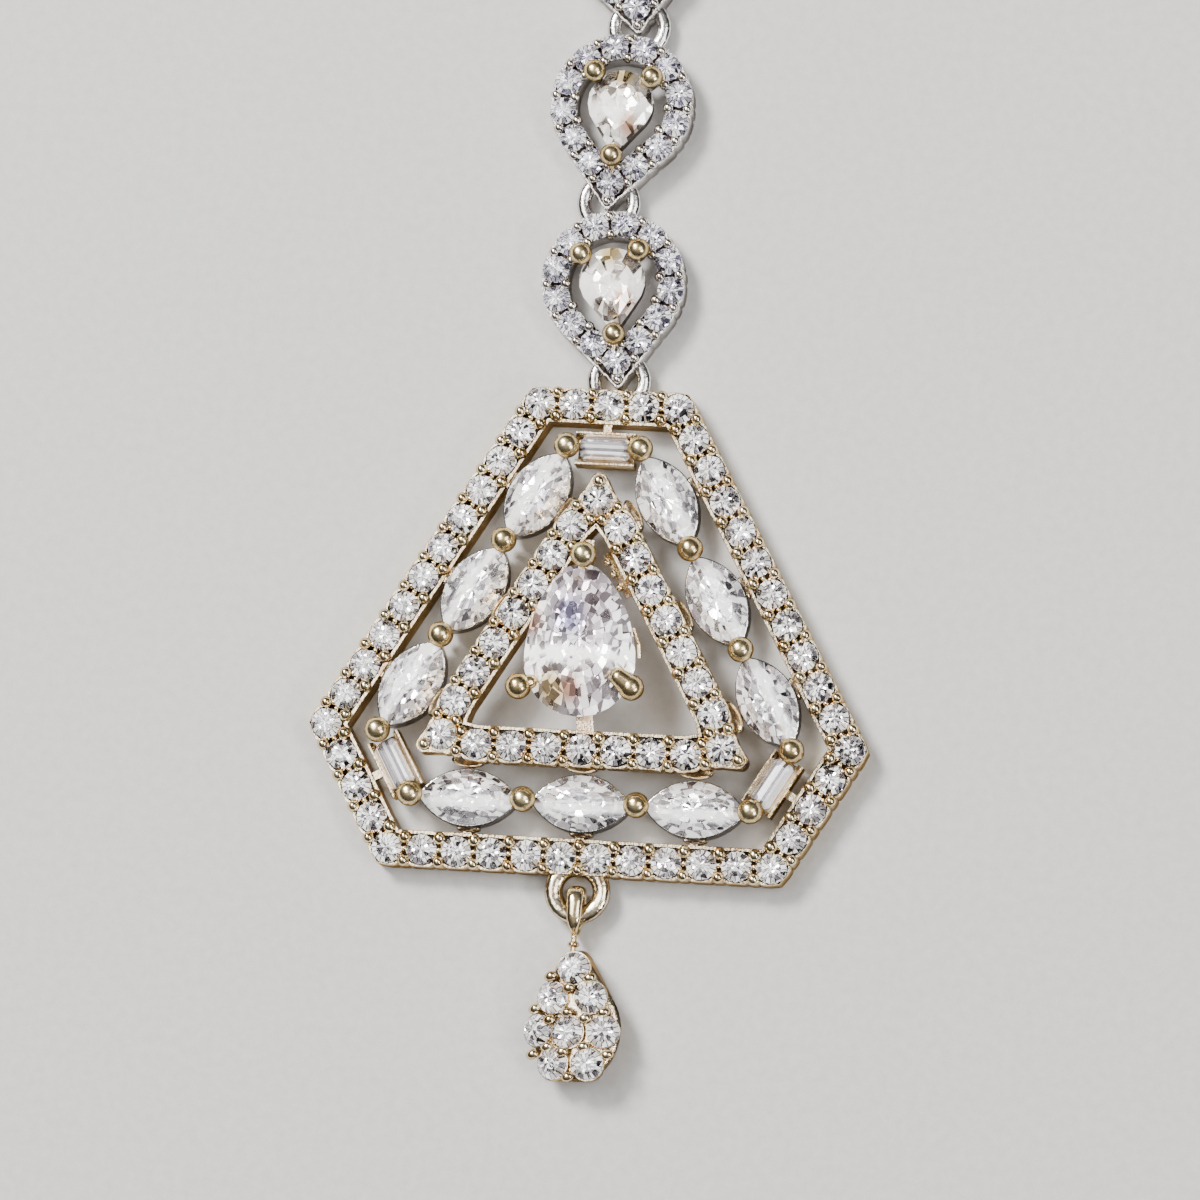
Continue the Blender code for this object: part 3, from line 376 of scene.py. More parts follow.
def cut_stone(name, cells, flash, tones, lines, highlight_band=None, patches=(), glow=1.1, mirror=1.05, brick=0.5):
    """The shader of a stone, from the attribute cut: x and y across the stone from -1 to 1, and its number.
    Cells are the counts of sectors, rings and shards. Flash is how far cells tilt, and lines is where in a
    sector its dark border begins. A painted highlight, a bright band, is (y, half height), and a patch of
    painted reflection or shade is (x, y, radius, colour). Glow is how strongly pale cells glow, painted
    light for light that came back through the stone, and mirror how much dark ones reflect. Every second
    ring is turned by the share brick of a sector."""
    sectors, rings, shards = cells
    coat = {"Coat_Weight": 1.0, "Coat_Roughness": 0.02, "Coat_IOR": 1.8}
    recipe = Recipe(name, Roughness=0.08, Emission_Strength=glow, **coat)
    place = recipe.node("Attribute", {"attribute_name": "cut"})[1]
    x, y, number = recipe.node("SeparateXYZ", None, {0: place})
    far = (x * x + y * y) ** 0.5
    turn = y.maths("ARCTAN2", x) * (sectors / (2 * math.pi)) + sectors
    across = far * ((turn % 1.0 - 0.5) * (2 * math.pi / sectors)).maths("COSINE") * rings
    ring = across.floor()
    shifted = turn + (ring % 2.0) * brick
    star = recipe.vector(shifted.floor() % sectors, ring, number)
    star = recipe.node("TexWhiteNoise", {"noise_dimensions": "3D"}, {0: star})[1]
    spread = recipe.vector(x * shards + number * 7.3, y * shards)
    shard = recipe.node("TexVoronoi", None, {"Vector": spread, "Scale": 1.0})[1]
    chance = recipe.vector_maths("FRACTION", recipe.vector_maths("ADD", star, shard))
    lean_x, lean_y, tone = recipe.node("SeparateXYZ", None, {0: chance})
    border = ((shifted % 1.0) - 0.5).size() * 2.0
    tone = tone * (1.0 - 0.8 * border.maths("GREATER_THAN", lines))
    # A painted highlight: a bright band across the stone.
    if highlight_band:
        height, half = highlight_band
        off = (y - height + (lean_x - 0.5) * 0.12).size()
        tone = tone + 0.9 * (1.0 - off * (1 / half)).at_least(0.0)
    tilt = recipe.vector((lean_x - 0.5) * flash, (lean_y - 0.5) * flash)
    normal = recipe.vector_maths("ADD", recipe.node("NewGeometry")[1], tilt)
    colour = recipe.ramp(tone, tones)
    # Patches multiply the colour: painted reflections and painted shade.
    for patch_x, patch_y, size, tint in patches:
        off_x, off_y = x - patch_x, y - patch_y
        near = 1.6 - (off_x * off_x + off_y * off_y) ** 0.5 * (1.6 / size)
        colour = recipe.mixed(near.at_least(0.0), colour, tint, "MULTIPLY")
    # Pale cells glow: painted light that stands in for light coming back through the stone.
    return recipe.drive(
        Base_Color=colour,
        Metallic=(mirror - tone * 1.1).at_least(0.12),
        Emission_Color=recipe.mixed((tone - 0.5) * 3.0, (0.0, 0.0, 0.0), colour),
        Normal=recipe.vector_maths("NORMALIZE", normal),
    )


# The greys of the painted reflections in the stones, from dark to pale.
CLEAR_TONES = (
    (0.12, (0.045, 0.038, 0.047)),
    (0.22, (0.38, 0.34, 0.42)),
    (0.35, (0.74, 0.70, 0.76)),
    (0.48, (0.97, 0.93, 0.89)),
    (0.70, (1.0, 0.99, 0.98)),
)
FANCY_TONES = (
    (0.10, (0.10, 0.085, 0.09)),
    (0.22, (0.50, 0.45, 0.52)),
    (0.42, (0.74, 0.70, 0.78)),
    (0.60, (0.93, 0.90, 0.90)),
    (0.76, (1.0, 0.99, 0.98)),
)
PEAR_TONES = (
    (0.08, (0.33, 0.28, 0.29)),
    (0.22, (0.47, 0.42, 0.46)),
    (0.46, (0.64, 0.58, 0.62)),
    (0.70, (0.84, 0.79, 0.79)),
    (0.88, (1.0, 0.985, 0.96)),
)
COOL_TONES = (
    (0.20, (0.05, 0.04, 0.08)),
    (0.30, (0.34, 0.30, 0.46)),
    (0.46, (0.68, 0.65, 0.80)),
    (0.60, (0.93, 0.93, 1.0)),
    (0.75, (1.0, 1.0, 1.0)),
)
WARM_TONES = (
    (0.10, (0.34, 0.28, 0.24)),
    (0.30, (0.56, 0.49, 0.43)),
    (0.50, (0.78, 0.71, 0.64)),
    (0.70, (0.93, 0.88, 0.82)),
    (0.88, (1.0, 0.985, 0.95)),
)
STEP_TONES = (
    (0.15, (0.62, 0.58, 0.64)),
    (0.45, (0.82, 0.79, 0.85)),
    (0.80, (0.97, 0.96, 0.98)),
)
# Tints of painted reflections in the stones.
BLUE, OLIVE, BROWN = (0.50, 0.53, 0.80), (0.62, 0.50, 0.26), (0.62, 0.40, 0.30)
PAVE_CELLS = (16, 3.2, 1.4)
PAVE_STONE = cut_stone("pave_stone", PAVE_CELLS, 0.7, CLEAR_TONES, 0.80, glow=1.2)
LINK_PAVE_STONE = cut_stone("link_pave_stone", PAVE_CELLS, 0.7, COOL_TONES, 0.78, glow=0.8)
# The marquises carry a painted highlight band.
MARQUISE_CELLS, MARQUISE_HIGHLIGHT_BAND = (16, 4.0, 5.6), (-0.2, 0.3)
MARQUISE_STONE = cut_stone(
    "marquise_stone_cut", MARQUISE_CELLS, 0.6, FANCY_TONES, 0.97, MARQUISE_HIGHLIGHT_BAND, glow=0.85
)
# Painted reflections on the link pears: a brown and an olive patch.
LINK_PATCHES = [(0.35, -0.3, 0.4, BROWN), (0.0, 0.9, 0.5, OLIVE)]
LINK_PEAR_STONE = cut_stone(
    "link_pear_stone", (12, 3.0, 3.0), 0.5, WARM_TONES, 0.97, (0.0, 0.4), LINK_PATCHES, 0.8
)
# The pear's patches: the first darkens its upper half as painted shade, the blue, olive and brown ones are
# painted reflections, and the last darkens the lower middle a little.
PEAR_PATCHES = [
    (0.0, 0.55, 0.75, (0.60, 0.55, 0.58)),
    (-0.18, 0.28, 0.36, BLUE),
    (-0.45, -0.68, 0.36, OLIVE),
    (-0.88, 0.2, 0.25, BROWN),
    (-0.1, -0.66, 0.26, BROWN),
    (0.1, -0.55, 0.5, (0.84, 0.80, 0.80)),
]
PEAR_STONE = cut_stone(
    "centre_pear_stone_cut", (22, 6.6, 8.0), 0.6, PEAR_TONES, 0.97, (-0.22, 0.16), PEAR_PATCHES, 1.9, 0.75
)
STEP_STONE = cut_stone("baguette_step_cut", (2, 3.4, 0.0), 0.35, STEP_TONES, 1.1, glow=0.5, brick=0.0)

# %% [markdown]
# ## Camera
# The photo looks down on the jewel from a little below and to the right of it. The camera was fitted to
# the places of the balls, bars and links, and is named here by its distance, its three turns and the point
# of the table that it looks at.

# %% The camera
LOOK_AT = Vector((0.00001, -0.01389, 0.0))
DISTANCE = 0.300
CAMERA_TURNS = (math.radians(8.50), math.radians(7.29), math.radians(3.91))
FOCAL_PIXELS, PHOTO_PIXELS = 5965.0, 1200

camera_data = bpy.data.cameras.new("camera")
camera_data.sensor_width = 36.0
camera_data.lens = FOCAL_PIXELS * camera_data.sensor_width / PHOTO_PIXELS
camera_data.clip_start = 0.01
camera = new_object("camera", camera_data)
camera.rotation_euler = CAMERA_TURNS
camera.location = LOOK_AT + camera.rotation_euler.to_matrix() @ Vector((0.0, 0.0, DISTANCE))
bpy.context.scene.camera = camera
print("lens in mm:", round(camera_data.lens, 1))

# %% [markdown]
# ## Plan of the pendant
# Its outer bar is a triangle with cut corners. Its inner bar is a triangle too, but the stone at each
# corner is drawn in a little, so that its sides bend towards the tips. Between them lies a ring of
# marquise and baguette stones with a ball at each end. All three have the same threefold turn, so each is
# worked out for one side and turned twice. The photo has the bottom row of the ring a little further in.

# %% Corners and places


def turn(points, degrees):
    """Plan points turned anticlockwise round the origin."""
    a = math.radians(degrees)
    return np.asarray(points, float) @ np.array([[math.cos(a), math.sin(a)], [-math.sin(a), math.cos(a)]])


def thrice(points):
    return np.concatenate([turn(points, 120 * k) for k in range(3)])


def lifted(points, height):
    return columns(*np.atleast_2d(points).T, height)


def tower(outline, rows, tarnish=None, loop=False):
    """A shape from copies of one outline, each with its own share of the size and its own height."""
    return rows_to_shape([lifted(outline * share, z) for share, z in rows], loop, tarnish)


def closed_wall(edges, tarnish):
    """A shape that runs round and closes: from the plan and the height of each long edge of it."""
    return rows_to_shape(np.stack([lifted(plan, z) for plan, z in edges], axis=1), True, tarnish)


def circle(radius, count):
    return polar(radius, angles(count))


def teardrop(radius, tip, tip_radius, count, tip_count=5):
    """A round head at the origin and straight sides to a small round point at -Y, anticlockwise from it."""
    tip_centre = tip - tip_radius
    slope = math.asin((radius - tip_radius) / tip_centre)
    a = np.linspace(slope - math.pi / 2, math.pi / 2 - slope, tip_count) - math.pi / 2
    b = np.linspace(-slope, math.pi + slope, count)
    return np.concatenate([polar(tip_radius, a) - (0.0, tip_centre), polar(radius, b)])


OUTER_CORNERS = thrice([(3.523, 13.214), (-3.523, 13.214)])
TRIANGLE_ROW, TRIANGLE_HALF, TRIANGLE_CORNER = 4.42, 5.25, 8.12
INNER_CORNERS = thrice([
    *turn([(0.0, TRIANGLE_CORNER)], 120), (-TRIANGLE_HALF, -TRIANGLE_ROW), (TRIANGLE_HALF, -TRIANGLE_ROW)
])  # fmt: skip
RING_LONG, RING_SHORT = 7.078, 10.944
MARQUISE_PITCH = 5.7
BOTTOM_ROW_IN = 0.11
THIRDS = np.array([0.0, 120.0, 240.0])
BALLS = thrice([((k - 1.5) * MARQUISE_PITCH, -RING_LONG) for k in range(4)])
MARQUISES = thrice([((k - 1) * MARQUISE_PITCH, -RING_LONG) for k in range(3)])
BALLS[:4, 1] += BOTTOM_ROW_IN
MARQUISES[:3, 1] += BOTTOM_ROW_IN
MARQUISE_TURNS = np.repeat(THIRDS, 3)
BAGUETTES = thrice([(0.0, RING_SHORT)])
print("balls:", len(BALLS), "marquises:", len(MARQUISES), "baguettes:", len(BAGUETTES))

# %% [markdown]
# ## Pavé bars
# A pavé bar is a channel: two upright plates with a low floor between them, and stones that sit in round
# seats cut into both. Between two stones the plates are thick, and a bead stands on each. Seen from above
# the outer plate has a small notch on each side of a bead. So the cross-section changes along the bar with
# the distance t to the nearest stone: the plates' inner faces follow the circle of the seat, sqrt(R^2 -
# t^2).

# %% The bar's surface


class BarPath:
    """Samples along a closed polygon, with the distance of each from its nearest stone."""

    def __init__(self, corners, pitch, samples=18):
        ends = np.roll(corners, -1, axis=0)
        length = np.linalg.norm(ends - corners, axis=1)
        ahead = (ends - corners) / length[:, None]
        out = columns(ahead[:, 1], -ahead[:, 0])
        before = np.roll(out, 1, axis=0)
        mitre = (out + before) / (1 + np.sum(out * before, axis=1))[:, None]
        bend = np.sqrt(np.sum(mitre**2, axis=1) - 1)
        steps = np.maximum(np.round(length / pitch), 1).astype(int)
        side = np.repeat(np.arange(len(corners)), steps * samples)
        count = np.concatenate([np.arange(k * samples) for k in steps])
        self.start, self.length, self.ahead, self.out = corners[side], length[side], ahead[side], out[side]
        self.mitre, self.bend_here, self.bend_next = mitre[side], bend[side], np.roll(bend, -1)[side]
        self.along = count / samples * (length / steps)[side]
        self.off = (count / samples - np.round(count / samples)) * (length / steps)[side]
        self.at_corner = count == 0
        self.stones = (self.start + self.ahead * self.along[:, None])[count % samples == 0]
        self.gaps = (count + samples // 2) % samples == 0

    def offset(self, distance, blunt=0.0):
        """Points at a distance outside the polygon. Inside corners stop at the mitre, and an outside corner
        reaches its mitre, less a share blunt of it."""
        inward = np.maximum(-distance, 0.0)
        along = np.clip(self.along, inward * self.bend_here, self.length - inward * self.bend_next)
        plain = self.start + self.ahead * along[:, None] + self.out * distance[:, None]
        mitred = self.start + self.mitre * (1.0 - blunt) * distance[:, None]
        return np.where((self.at_corner & (distance > 0))[:, None], mitred, plain)


SEAT, SEAT_NECK, RIM = 0.80, 0.36, 0.14
# Painted shade for each corner of a channel's cross-section: its steps, seats and floor are painted dark.
CHANNEL_PAINTED_SHADE = (0.15, 0.0, 0.0, 0.0, 0.85, 1.0, 1.0, 1.0, 1.0, 0.85, 0.0, 0.0, 0.0, 0.25)


def notch(t, middle, depth):
    """How far the outer plate is cut in beside a bead, a bell curve of the distance t from a stone."""
    return depth * np.exp(-(((t - middle) / 0.07) ** 2))


def channel(outer, far, close, inner, rims, low, top, depth, inner_tops):
    """The corners of a channel's cross-section, from its outer foot to its inner one: distances outwards
    and heights. Beside a stone each plate is a thin edge at the seat, which runs from close to far. Between
    two stones it is a rim with a lower step behind it, out of which the beads rise; the step is painted
    dark, as shade."""
    rim_out, rim_in = np.maximum(far + 0.01, outer - rims[0]), np.minimum(close - 0.01, inner + rims[1])
    return (
        (outer, low),
        (outer, top - 0.05),
        (outer - 0.03, top),
        (rim_out, top),
        (np.maximum(rim_out - 0.03, far), top - 0.2),
        (far - 0.01, top - 0.24),
        (far - 0.03, top - depth),
        (close + 0.03, top - depth),
        (close + 0.01, top - 0.24),
        (np.minimum(rim_in + 0.03, close), top - 0.2),
        (rim_in, top + inner_tops[0]),
        (inner + 0.03, top + inner_tops[0]),
        (inner, top + inner_tops[1]),
        (inner, low),
    )


def pave_bar(path, low, top, blunt=0.0):
    """The channel bar, as one closed loop of cross-sections."""
    t = np.abs(path.off)
    seat = np.sqrt(np.maximum(SEAT**2 - t**2, SEAT_NECK**2))
    outer, inner = BAR_OUT - notch(t, 0.58, 0.10), np.full_like(t, -BAR_IN)
    rows = channel(outer, seat, -seat, inner, (RIM, RIM + 0.03), low, top, 0.45, (0.08, 0.04))
    return closed_wall([(path.offset(d, blunt), z) for d, z in rows], CHANNEL_PAINTED_SHADE)


PITCH = 1.76
OUTER_BAR, INNER_BAR = BarPath(OUTER_CORNERS, PITCH), BarPath(INNER_CORNERS, PITCH)
print("stones on the bars:", len(OUTER_BAR.stones), len(INNER_BAR.stones))

# %% [markdown]
# The bridge behind the top bar carries the first connector ring. It is hidden from above, and is the same
# plain strap as in the solids: a post inside the ring, a floor under its wire and a leg outside it.

# %% The hidden bridges
RING_PATH, RING_WIRE, RING_Z = 1.27, 0.28, 0.68


def bridge(ring_place, degrees, leg_depth, post_depth):
    """A strap under a ring: an extruded U with its legs at the ring's hole and outside it."""
    side = np.array([
        (post_depth, 0.0),
        (1.66 + leg_depth, 0.0),
        (1.66 + leg_depth, 1.24),
        (1.66, 1.24),
        (1.66, 0.28),
        (0.8, 0.28),
        (0.8, 1.24),
        (post_depth, 1.24),
    ])
    rows = [columns(side[:, 0], v, side[:, 1]) for v in (-0.3, 0.3)]
    return stamped(rows_to_shape(rows), ring_place, degrees)


CHAIN = (("link_1", 6.6, 2.6), ("link_2", -4.4, -5.0), ("link_3", 7.6, 0.0))
LINK_RADIUS, LINK_TIP, LINK_GAP, RING_IN_LINK = 3.65, 5.45, 0.12, 0.45


def chain_places():
    """Centre and lean of each link, and the centre of each ring, as in the solids: a link's point lies just
    clear of the piece below, and a ring's centre lies inside that point."""
    tip = np.array([0.38, TOP_EDGE + LINK_GAP])
    links, rings = [], []
    for _, lean, next_turn in CHAIN:
        rings.append(tip + turn([0.0, RING_IN_LINK], lean))
        centre = tip + turn([0.0, LINK_TIP], lean)
        links.append((centre, lean))
        tip = centre + turn([0.0, LINK_RADIUS + LINK_GAP], lean + next_turn)
    rings.append(centre + turn([0.0, LINK_RADIUS + LINK_GAP + RING_IN_LINK], lean + next_turn))
    return links, rings


LINKS, RINGS = chain_places()
print("ring centres:", [tuple(r.round(2)) for r in RINGS])

# %% The pendant's bars
bars = [pave_bar(OUTER_BAR, 0.0, BAR_TOP, 0.09), bridge(RINGS[0], -90, 0.62, 0.6)]
piece("pendant_outer_bar", bars, PALE_GOLD, replaces=["pendant_casting"])
CORNER_STONES = thrice([(0.0, TRIANGLE_CORNER)])
PAD = ((1.0, TRIANGLE_LOW), (1.0, TRIANGLE_TOP - 0.12), (0.95, TRIANGLE_TOP - 0.05))
corner_pad = stamped(tower(teardrop(0.87, 1.42, 0.42, 30, 9), PAD), CORNER_STONES, THIRDS + 180)
bars = [pave_bar(INNER_BAR, TRIANGLE_LOW, TRIANGLE_TOP, 0.04), corner_pad]
piece("pendant_inner_bar", bars, PALE_GOLD)

# %% [markdown]
# ## Beads
# A bead is a small dome raised from the plate and pushed over the edge of two stones. It is a ball that is
# a little taller than wide, sunk into the plate.

# %% Beads on the bars
OUTER_BEAD, INNER_BEAD = ball(0.31, 12, 8, 1.1, 0.38), ball(0.34, 12, 8, 1.05, 0.38)
SMALL_BEAD = ball(0.17, 8, 6, 1.0, 0.3)


def bar_beads(path, top, pairs=()):
    """A bead at each gap between stones, on the outer and the inner plate, and small ones between them. The
    short sides at the triangle's corners have pairs of beads of their own inside."""

    def at(distance, chosen):
        return path.offset(np.full(len(path.off), distance))[chosen]

    out = at(0.59, path.gaps)
    into = np.concatenate([at(-0.61, path.gaps & (path.length > 3.0)), np.reshape(pairs, (-1, 2))])
    small = [at(d, np.roll(path.gaps, k)) for d, k in ((-0.33, 2), (0.27, -2), (-0.02, 0))]
    return [
        stamped(OUTER_BEAD, lifted(out, top)),
        stamped(INNER_BEAD, lifted(into, top + 0.05)),
        stamped(SMALL_BEAD, lifted(np.concatenate(small), top - 0.06)),
    ]


TIPS = thrice([(0.0, TRIANGLE_CORNER + 0.98)])
PAIRS = thrice([(-0.31, TRIANGLE_CORNER - 0.98), (0.31, TRIANGLE_CORNER - 0.98)])
TIP_BEAD = stamped(ball(0.33, 14, 9, 1.0, 0.55), lifted(TIPS, TRIANGLE_TOP - 0.03))
inner_beads = [*bar_beads(INNER_BAR, TRIANGLE_TOP, PAIRS), TIP_BEAD]
piece("pendant_outer_beads", bar_beads(OUTER_BAR, BAR_TOP), BEAD_GOLD, smooth=80)
piece("pendant_inner_beads", inner_beads, BEAD_GOLD, smooth=80)

# %% [markdown]
# ## Cut stones
# The facets follow the round brilliant cut, on any outline: a flat table, a star facet at each of its
# sides, a kite below each of its corners, and two narrow facets between kites down to the girdle. The same
# rule cuts a marquise or a pear when the circle is swapped for its outline.

# %% One rule for every cut


def cut_gem(outline, table, crown, pavilion, girdle=0.04, middle=0.82, rise=0.52, centre=(0.0, 0.0)):
    """A faceted stone with its girdle at z = 0, from 2n outline points: table corners at share table of the
    even points, star points at share middle of the odd ones, and a culet at depth pavilion."""
    outline = np.asarray(outline, float)
    n = len(outline) // 2
    even, odd = outline[0::2], outline[1::2]
    points = np.concatenate([
        lifted(outline, 0.0),
        lifted(centre + middle * (odd - centre), crown * rise),
        lifted(centre + table * (even - centre), crown),
        lifted(outline, -girdle),
        lifted([centre], -pavilion),
    ])
    k = np.arange(n)
    after = (k + 1) % n
    even_i, odd_i, next_i = 2 * k, 2 * k + 1, 2 * after
    star_i, table_i = 2 * n + k, 3 * n + k
    low = 4 * n
    upper = np.concatenate([columns(even_i, odd_i, star_i), columns(odd_i, next_i, star_i)])
    stars = columns(star_i, 3 * n + after, table_i)
    kites = columns(2 * n + (k - 1) % n, even_i, star_i, table_i)
    rim = np.arange(2 * n)
    rim_next = (rim + 1) % (2 * n)
    wall = columns(low + rim, low + rim_next, rim_next, rim)
    under = columns(low + rim_next, low + rim, 6 * n)
    return points, [upper, stars, kites, table_i[None], wall, under]


def stones(name, gem, places, degrees, material, replaces=(), first=0, bend=None):
    """Copies a gem to its places. Each copy carries the attribute cut, with its own number. A function
    bend may move the points at last."""
    plan = gem[0][:, :2]
    high, low = plan.max(axis=0), plan.min(axis=0)
    local = np.tile((plan - (high + low) / 2) / ((high - low) / 2), (len(places), 1))
    number = np.repeat(np.arange(len(places)) + first, len(gem[0]))
    cut = lifted(local, number)
    points, faces = stamped(gem, places, degrees)
    if bend:
        points = bend(points)
    return piece(name, [(points, faces)], material, replaces, smooth=0, cut=cut)


ROUND = cut_gem(circle(PAVE / 2, 16), 0.56, 0.30, 0.5)
print("faces of a round stone:", sum(len(f) for f in ROUND[1]))

# %% Stones on the bars
chance = np.random.default_rng(7)


def seated(places, height):
    """Places at a height, each with its own turn: real stones are never lined up."""
    return lifted(places, height), chance.uniform(0, 45, len(places))


stones("pendant_outer_pave", ROUND, *seated(OUTER_BAR.stones, BAR_TOP + 0.03), PAVE_STONE)
stones("pendant_inner_pave", ROUND, *seated(INNER_BAR.stones, TRIANGLE_TOP + 0.03), PAVE_STONE, first=60)

# %% [markdown]
# ## The ring of marquises and baguettes
# Each marquise is nearly bare: a thin wall follows its outline just under the edge, and a ball at each
# point holds it. The baguettes lie between two rails. Small tabs join the walls to the outer bar.

# %% Marquises
LENGTH, WIDTH = 4.95, 2.80
GIRDLE_Z = 1.82


def marquise(length, width, count):
    """Two equal arcs that meet in points on the X axis, radius (l^2 + w^2) / 4w, with count points each."""
    radius = (length**2 + width**2) / (4 * width)
    reach = math.asin(length / 2 / radius)
    a = np.linspace(-reach, reach, count, endpoint=False)
    lower = columns(radius * np.sin(a), radius - width / 2 - radius * np.cos(a))
    return np.concatenate([lower, -lower])


def wall(outer, inner, low, high, bevel=0.04):
    """A closed wall between two plan outlines, its upper edges bevelled."""
    outer, inner = np.asarray(outer), np.asarray(inner)
    edges = (
        (outer, low),
        (outer, high - bevel),
        (outer + (inner - outer) * 0.25, high),
        (outer + (inner - outer) * 0.75, high),
        (inner, high - bevel),
        (inner, low),
    )
    # Painted shade: the outer foot and the inner face are painted dark.
    return closed_wall(edges, (0.5, 0.0, 0.0, 0.1, 0.6, 1.0))


def names(kind, count):
    """The solids of one kind, which are numbered from 1."""
    return [f"{kind}_{k}" for k in range(1, count + 1)]


MARQUISE_GEM = cut_gem(marquise(LENGTH, WIDTH, 12), 0.54, 0.50, 0.95, middle=0.78)
places = lifted(MARQUISES, GIRDLE_Z)
solids = names("marquise_stone", 9)
stones("marquise_stones", MARQUISE_GEM, places, MARQUISE_TURNS, MARQUISE_STONE, solids, 100)
rim = wall(marquise(5.08, 2.93, 20), marquise(4.5, 2.5, 20), 0.75, GIRDLE_Z - 0.02)
piece("marquise_walls", [stamped(rim, MARQUISES, MARQUISE_TURNS)], WHITE_PLATE)

# %% Baguettes between their rails


def cornered(half_x, half_y, cut):
    """A rectangle with cut corners, anticlockwise."""
    x, y = half_x, half_y
    return np.array([
        (x - cut, -y), (x, cut - y), (x, y - cut), (x - cut, y),
        (cut - x, y), (-x, y - cut), (-x, cut - y), (cut - x, -y),
    ])  # fmt: skip


STEPS = ((0.0, -0.05), (0.0, 0.0), (0.12, 0.16), (0.26, 0.27))
step_rows = [lifted(cornered(1.25 - d, 0.55 - d, 0.16), z) for d, z in STEPS]
BAGUETTE_GEM = rows_to_shape([lifted([(0.0, 0.0)] * 8, -0.8), *step_rows])
places = lifted(BAGUETTES, GIRDLE_Z)
solids = names("baguette_stone", 3)
stones("baguette_stones", BAGUETTE_GEM, places, THIRDS, STEP_STONE, solids, 120)
RAIL = np.array([(0.86, 0.75), (0.86, 1.9), (0.82, 1.96), (0.74, 1.96), (0.57, 1.8), (0.53, 0.75)])
rail_rows = [columns(x, *RAIL.T) for x in (-1.5, -1.46, 1.46, 1.5)]
# Painted shade on the rail's inner face and foot.
rail = rows_to_shape(rail_rows, tarnish=(0.4, 0.0, 0.0, 0.0, 0.2, 0.9))
end_plate = tower(cornered(1.42, 0.6, 0.1), ((1.0, 0.8), (1.0, 1.25)))
bezel = joined([rail, stamped(rail, (0.0, 0.0), 180), end_plate])
piece("baguette_bezels", [stamped(bezel, BAGUETTES, THIRDS)], PALE_GOLD)

# %% Balls, posts and tabs


def box(x0, x1, y0, y1, z0, z1):
    outline = np.array([(x0, y0), (x1, y0), (x1, y1), (x0, y1)])
    return tower(outline, ((1.0, z0), (1.0, z1)))


def crescent(half, deep, low, high):
    """A thin plate with an elliptic outline, rounded over its edge, with painted shade in its hollow."""
    rows = ((1.0, low), (1.0, high - 0.08), (0.86, high), (0.55, high - 0.06))
    return tower(circle(1.0, 24) * (half, deep), rows, [[0.3], [0.0], [0.0], [0.75]])


BALL_RADIUS, BALL_SHINE = 0.65, 0.70
# The posts under the balls are painted dark all over, as shade.
POST = tower(circle(0.26, 12), ((1.0, 0.7), (1.0, 2.4)), 0.6)
ring_ball = ball(BALL_RADIUS, 28, 21, shine=BALL_SHINE)
ring_balls = [stamped(ring_ball, lifted(BALLS, 2.5)), stamped(POST, BALLS)]
piece("ring_ball_prongs", ring_balls, BRASSY_GOLD, smooth=60)
TO_TRIANGLE = RING_LONG - TRIANGLE_ROW - BAR_OUT
marquise_side = joined([
    box(-0.2, 0.2, -1.85, -1.3, 0.85, 1.35),
    stamped(crescent(0.6, 0.2, 1.0, 1.42), (0.06, -1.5)),
    box(-0.1, 0.1, 1.3, 2.1, 0.9, 1.45),
    stamped(crescent(0.85, 0.33, 1.94, 2.5), (0.0, TO_TRIANGLE)),
])
baguette_side = box(-0.2, 0.2, 0.8, 1.4, 0.85, 1.35)
tabs = [stamped(marquise_side, MARQUISES, MARQUISE_TURNS), stamped(baguette_side, BAGUETTES, THIRDS)]
piece("marquise_tabs", tabs, PALE_GOLD)

# %% [markdown]
# ## The centre stone
# The pear sits high in a basket inside the triangle: a ring under the stone, three spokes, and three
# prongs that end in balls. The right prong reaches over the stone as a claw.

# %% Pear and basket
PEAR_PLACE, PEAR_Z = np.array([-0.26, -0.1]), 3.98


def evenly(outline, count, start=0.0):
    """Points spaced evenly by length round a closed outline."""
    loop = np.concatenate([outline, outline[:1]])
    far = np.concatenate([[0.0], np.cumsum(np.linalg.norm(np.diff(loop, axis=0), axis=1))])
    stops = (np.arange(count) / count + start) % 1.0 * far[-1]
    return columns(*[np.interp(stops, far, values) for values in loop.T])


def full_pear(radius, tip, count):
    """A half circle below, and above it two full sides x = r (1 - (y / t) ^ 1.75) ^ 0.55 that meet in a
    blunt point at +Y, where it starts."""
    below = polar(radius, np.linspace(-math.pi, 0.0, count))
    share = np.sin(np.linspace(0.0, math.pi / 2, count))[1:]
    side = columns(radius * (1 - share**1.75) ** 0.55, tip * share)
    return np.concatenate([side[::-1] * (-1, 1), below, side[:-1]])


PEAR_OUTLINE = turn(full_pear(2.8, 4.95, 40), 2.5)
pear_edge = evenly(PEAR_OUTLINE, 26)
PEAR_GEM = cut_gem(pear_edge, 0.56, 0.9, 1.9, middle=0.80, centre=np.array([0.0, 0.5]))
stones("centre_pear", PEAR_GEM, lifted(PEAR_PLACE, PEAR_Z), 0.0, PEAR_STONE, ["centre_pear_stone"], 130)


def capsule(start, end, radius, tip_radius, sides=16, steps=7):
    """A round bar with round ends, whose radius runs from one value to another."""
    start, end = np.asarray(start, float), np.asarray(end, float)
    way = (end - start) / np.linalg.norm(end - start)
    b = np.linspace(0.02, math.pi / 2, steps)
    first = start - way * radius * np.cos(b)[:, None]
    last = end + way * tip_radius * np.cos(b)[::-1, None]
    radii = np.concatenate([radius * np.sin(b), tip_radius * np.sin(b)[::-1]])
    across = (1.0, 0.0, 0.0) if abs(way[0]) < 0.8 else (0.0, 0.0, 1.0)
    return tube(np.concatenate([first, last]), radii, across, sides)


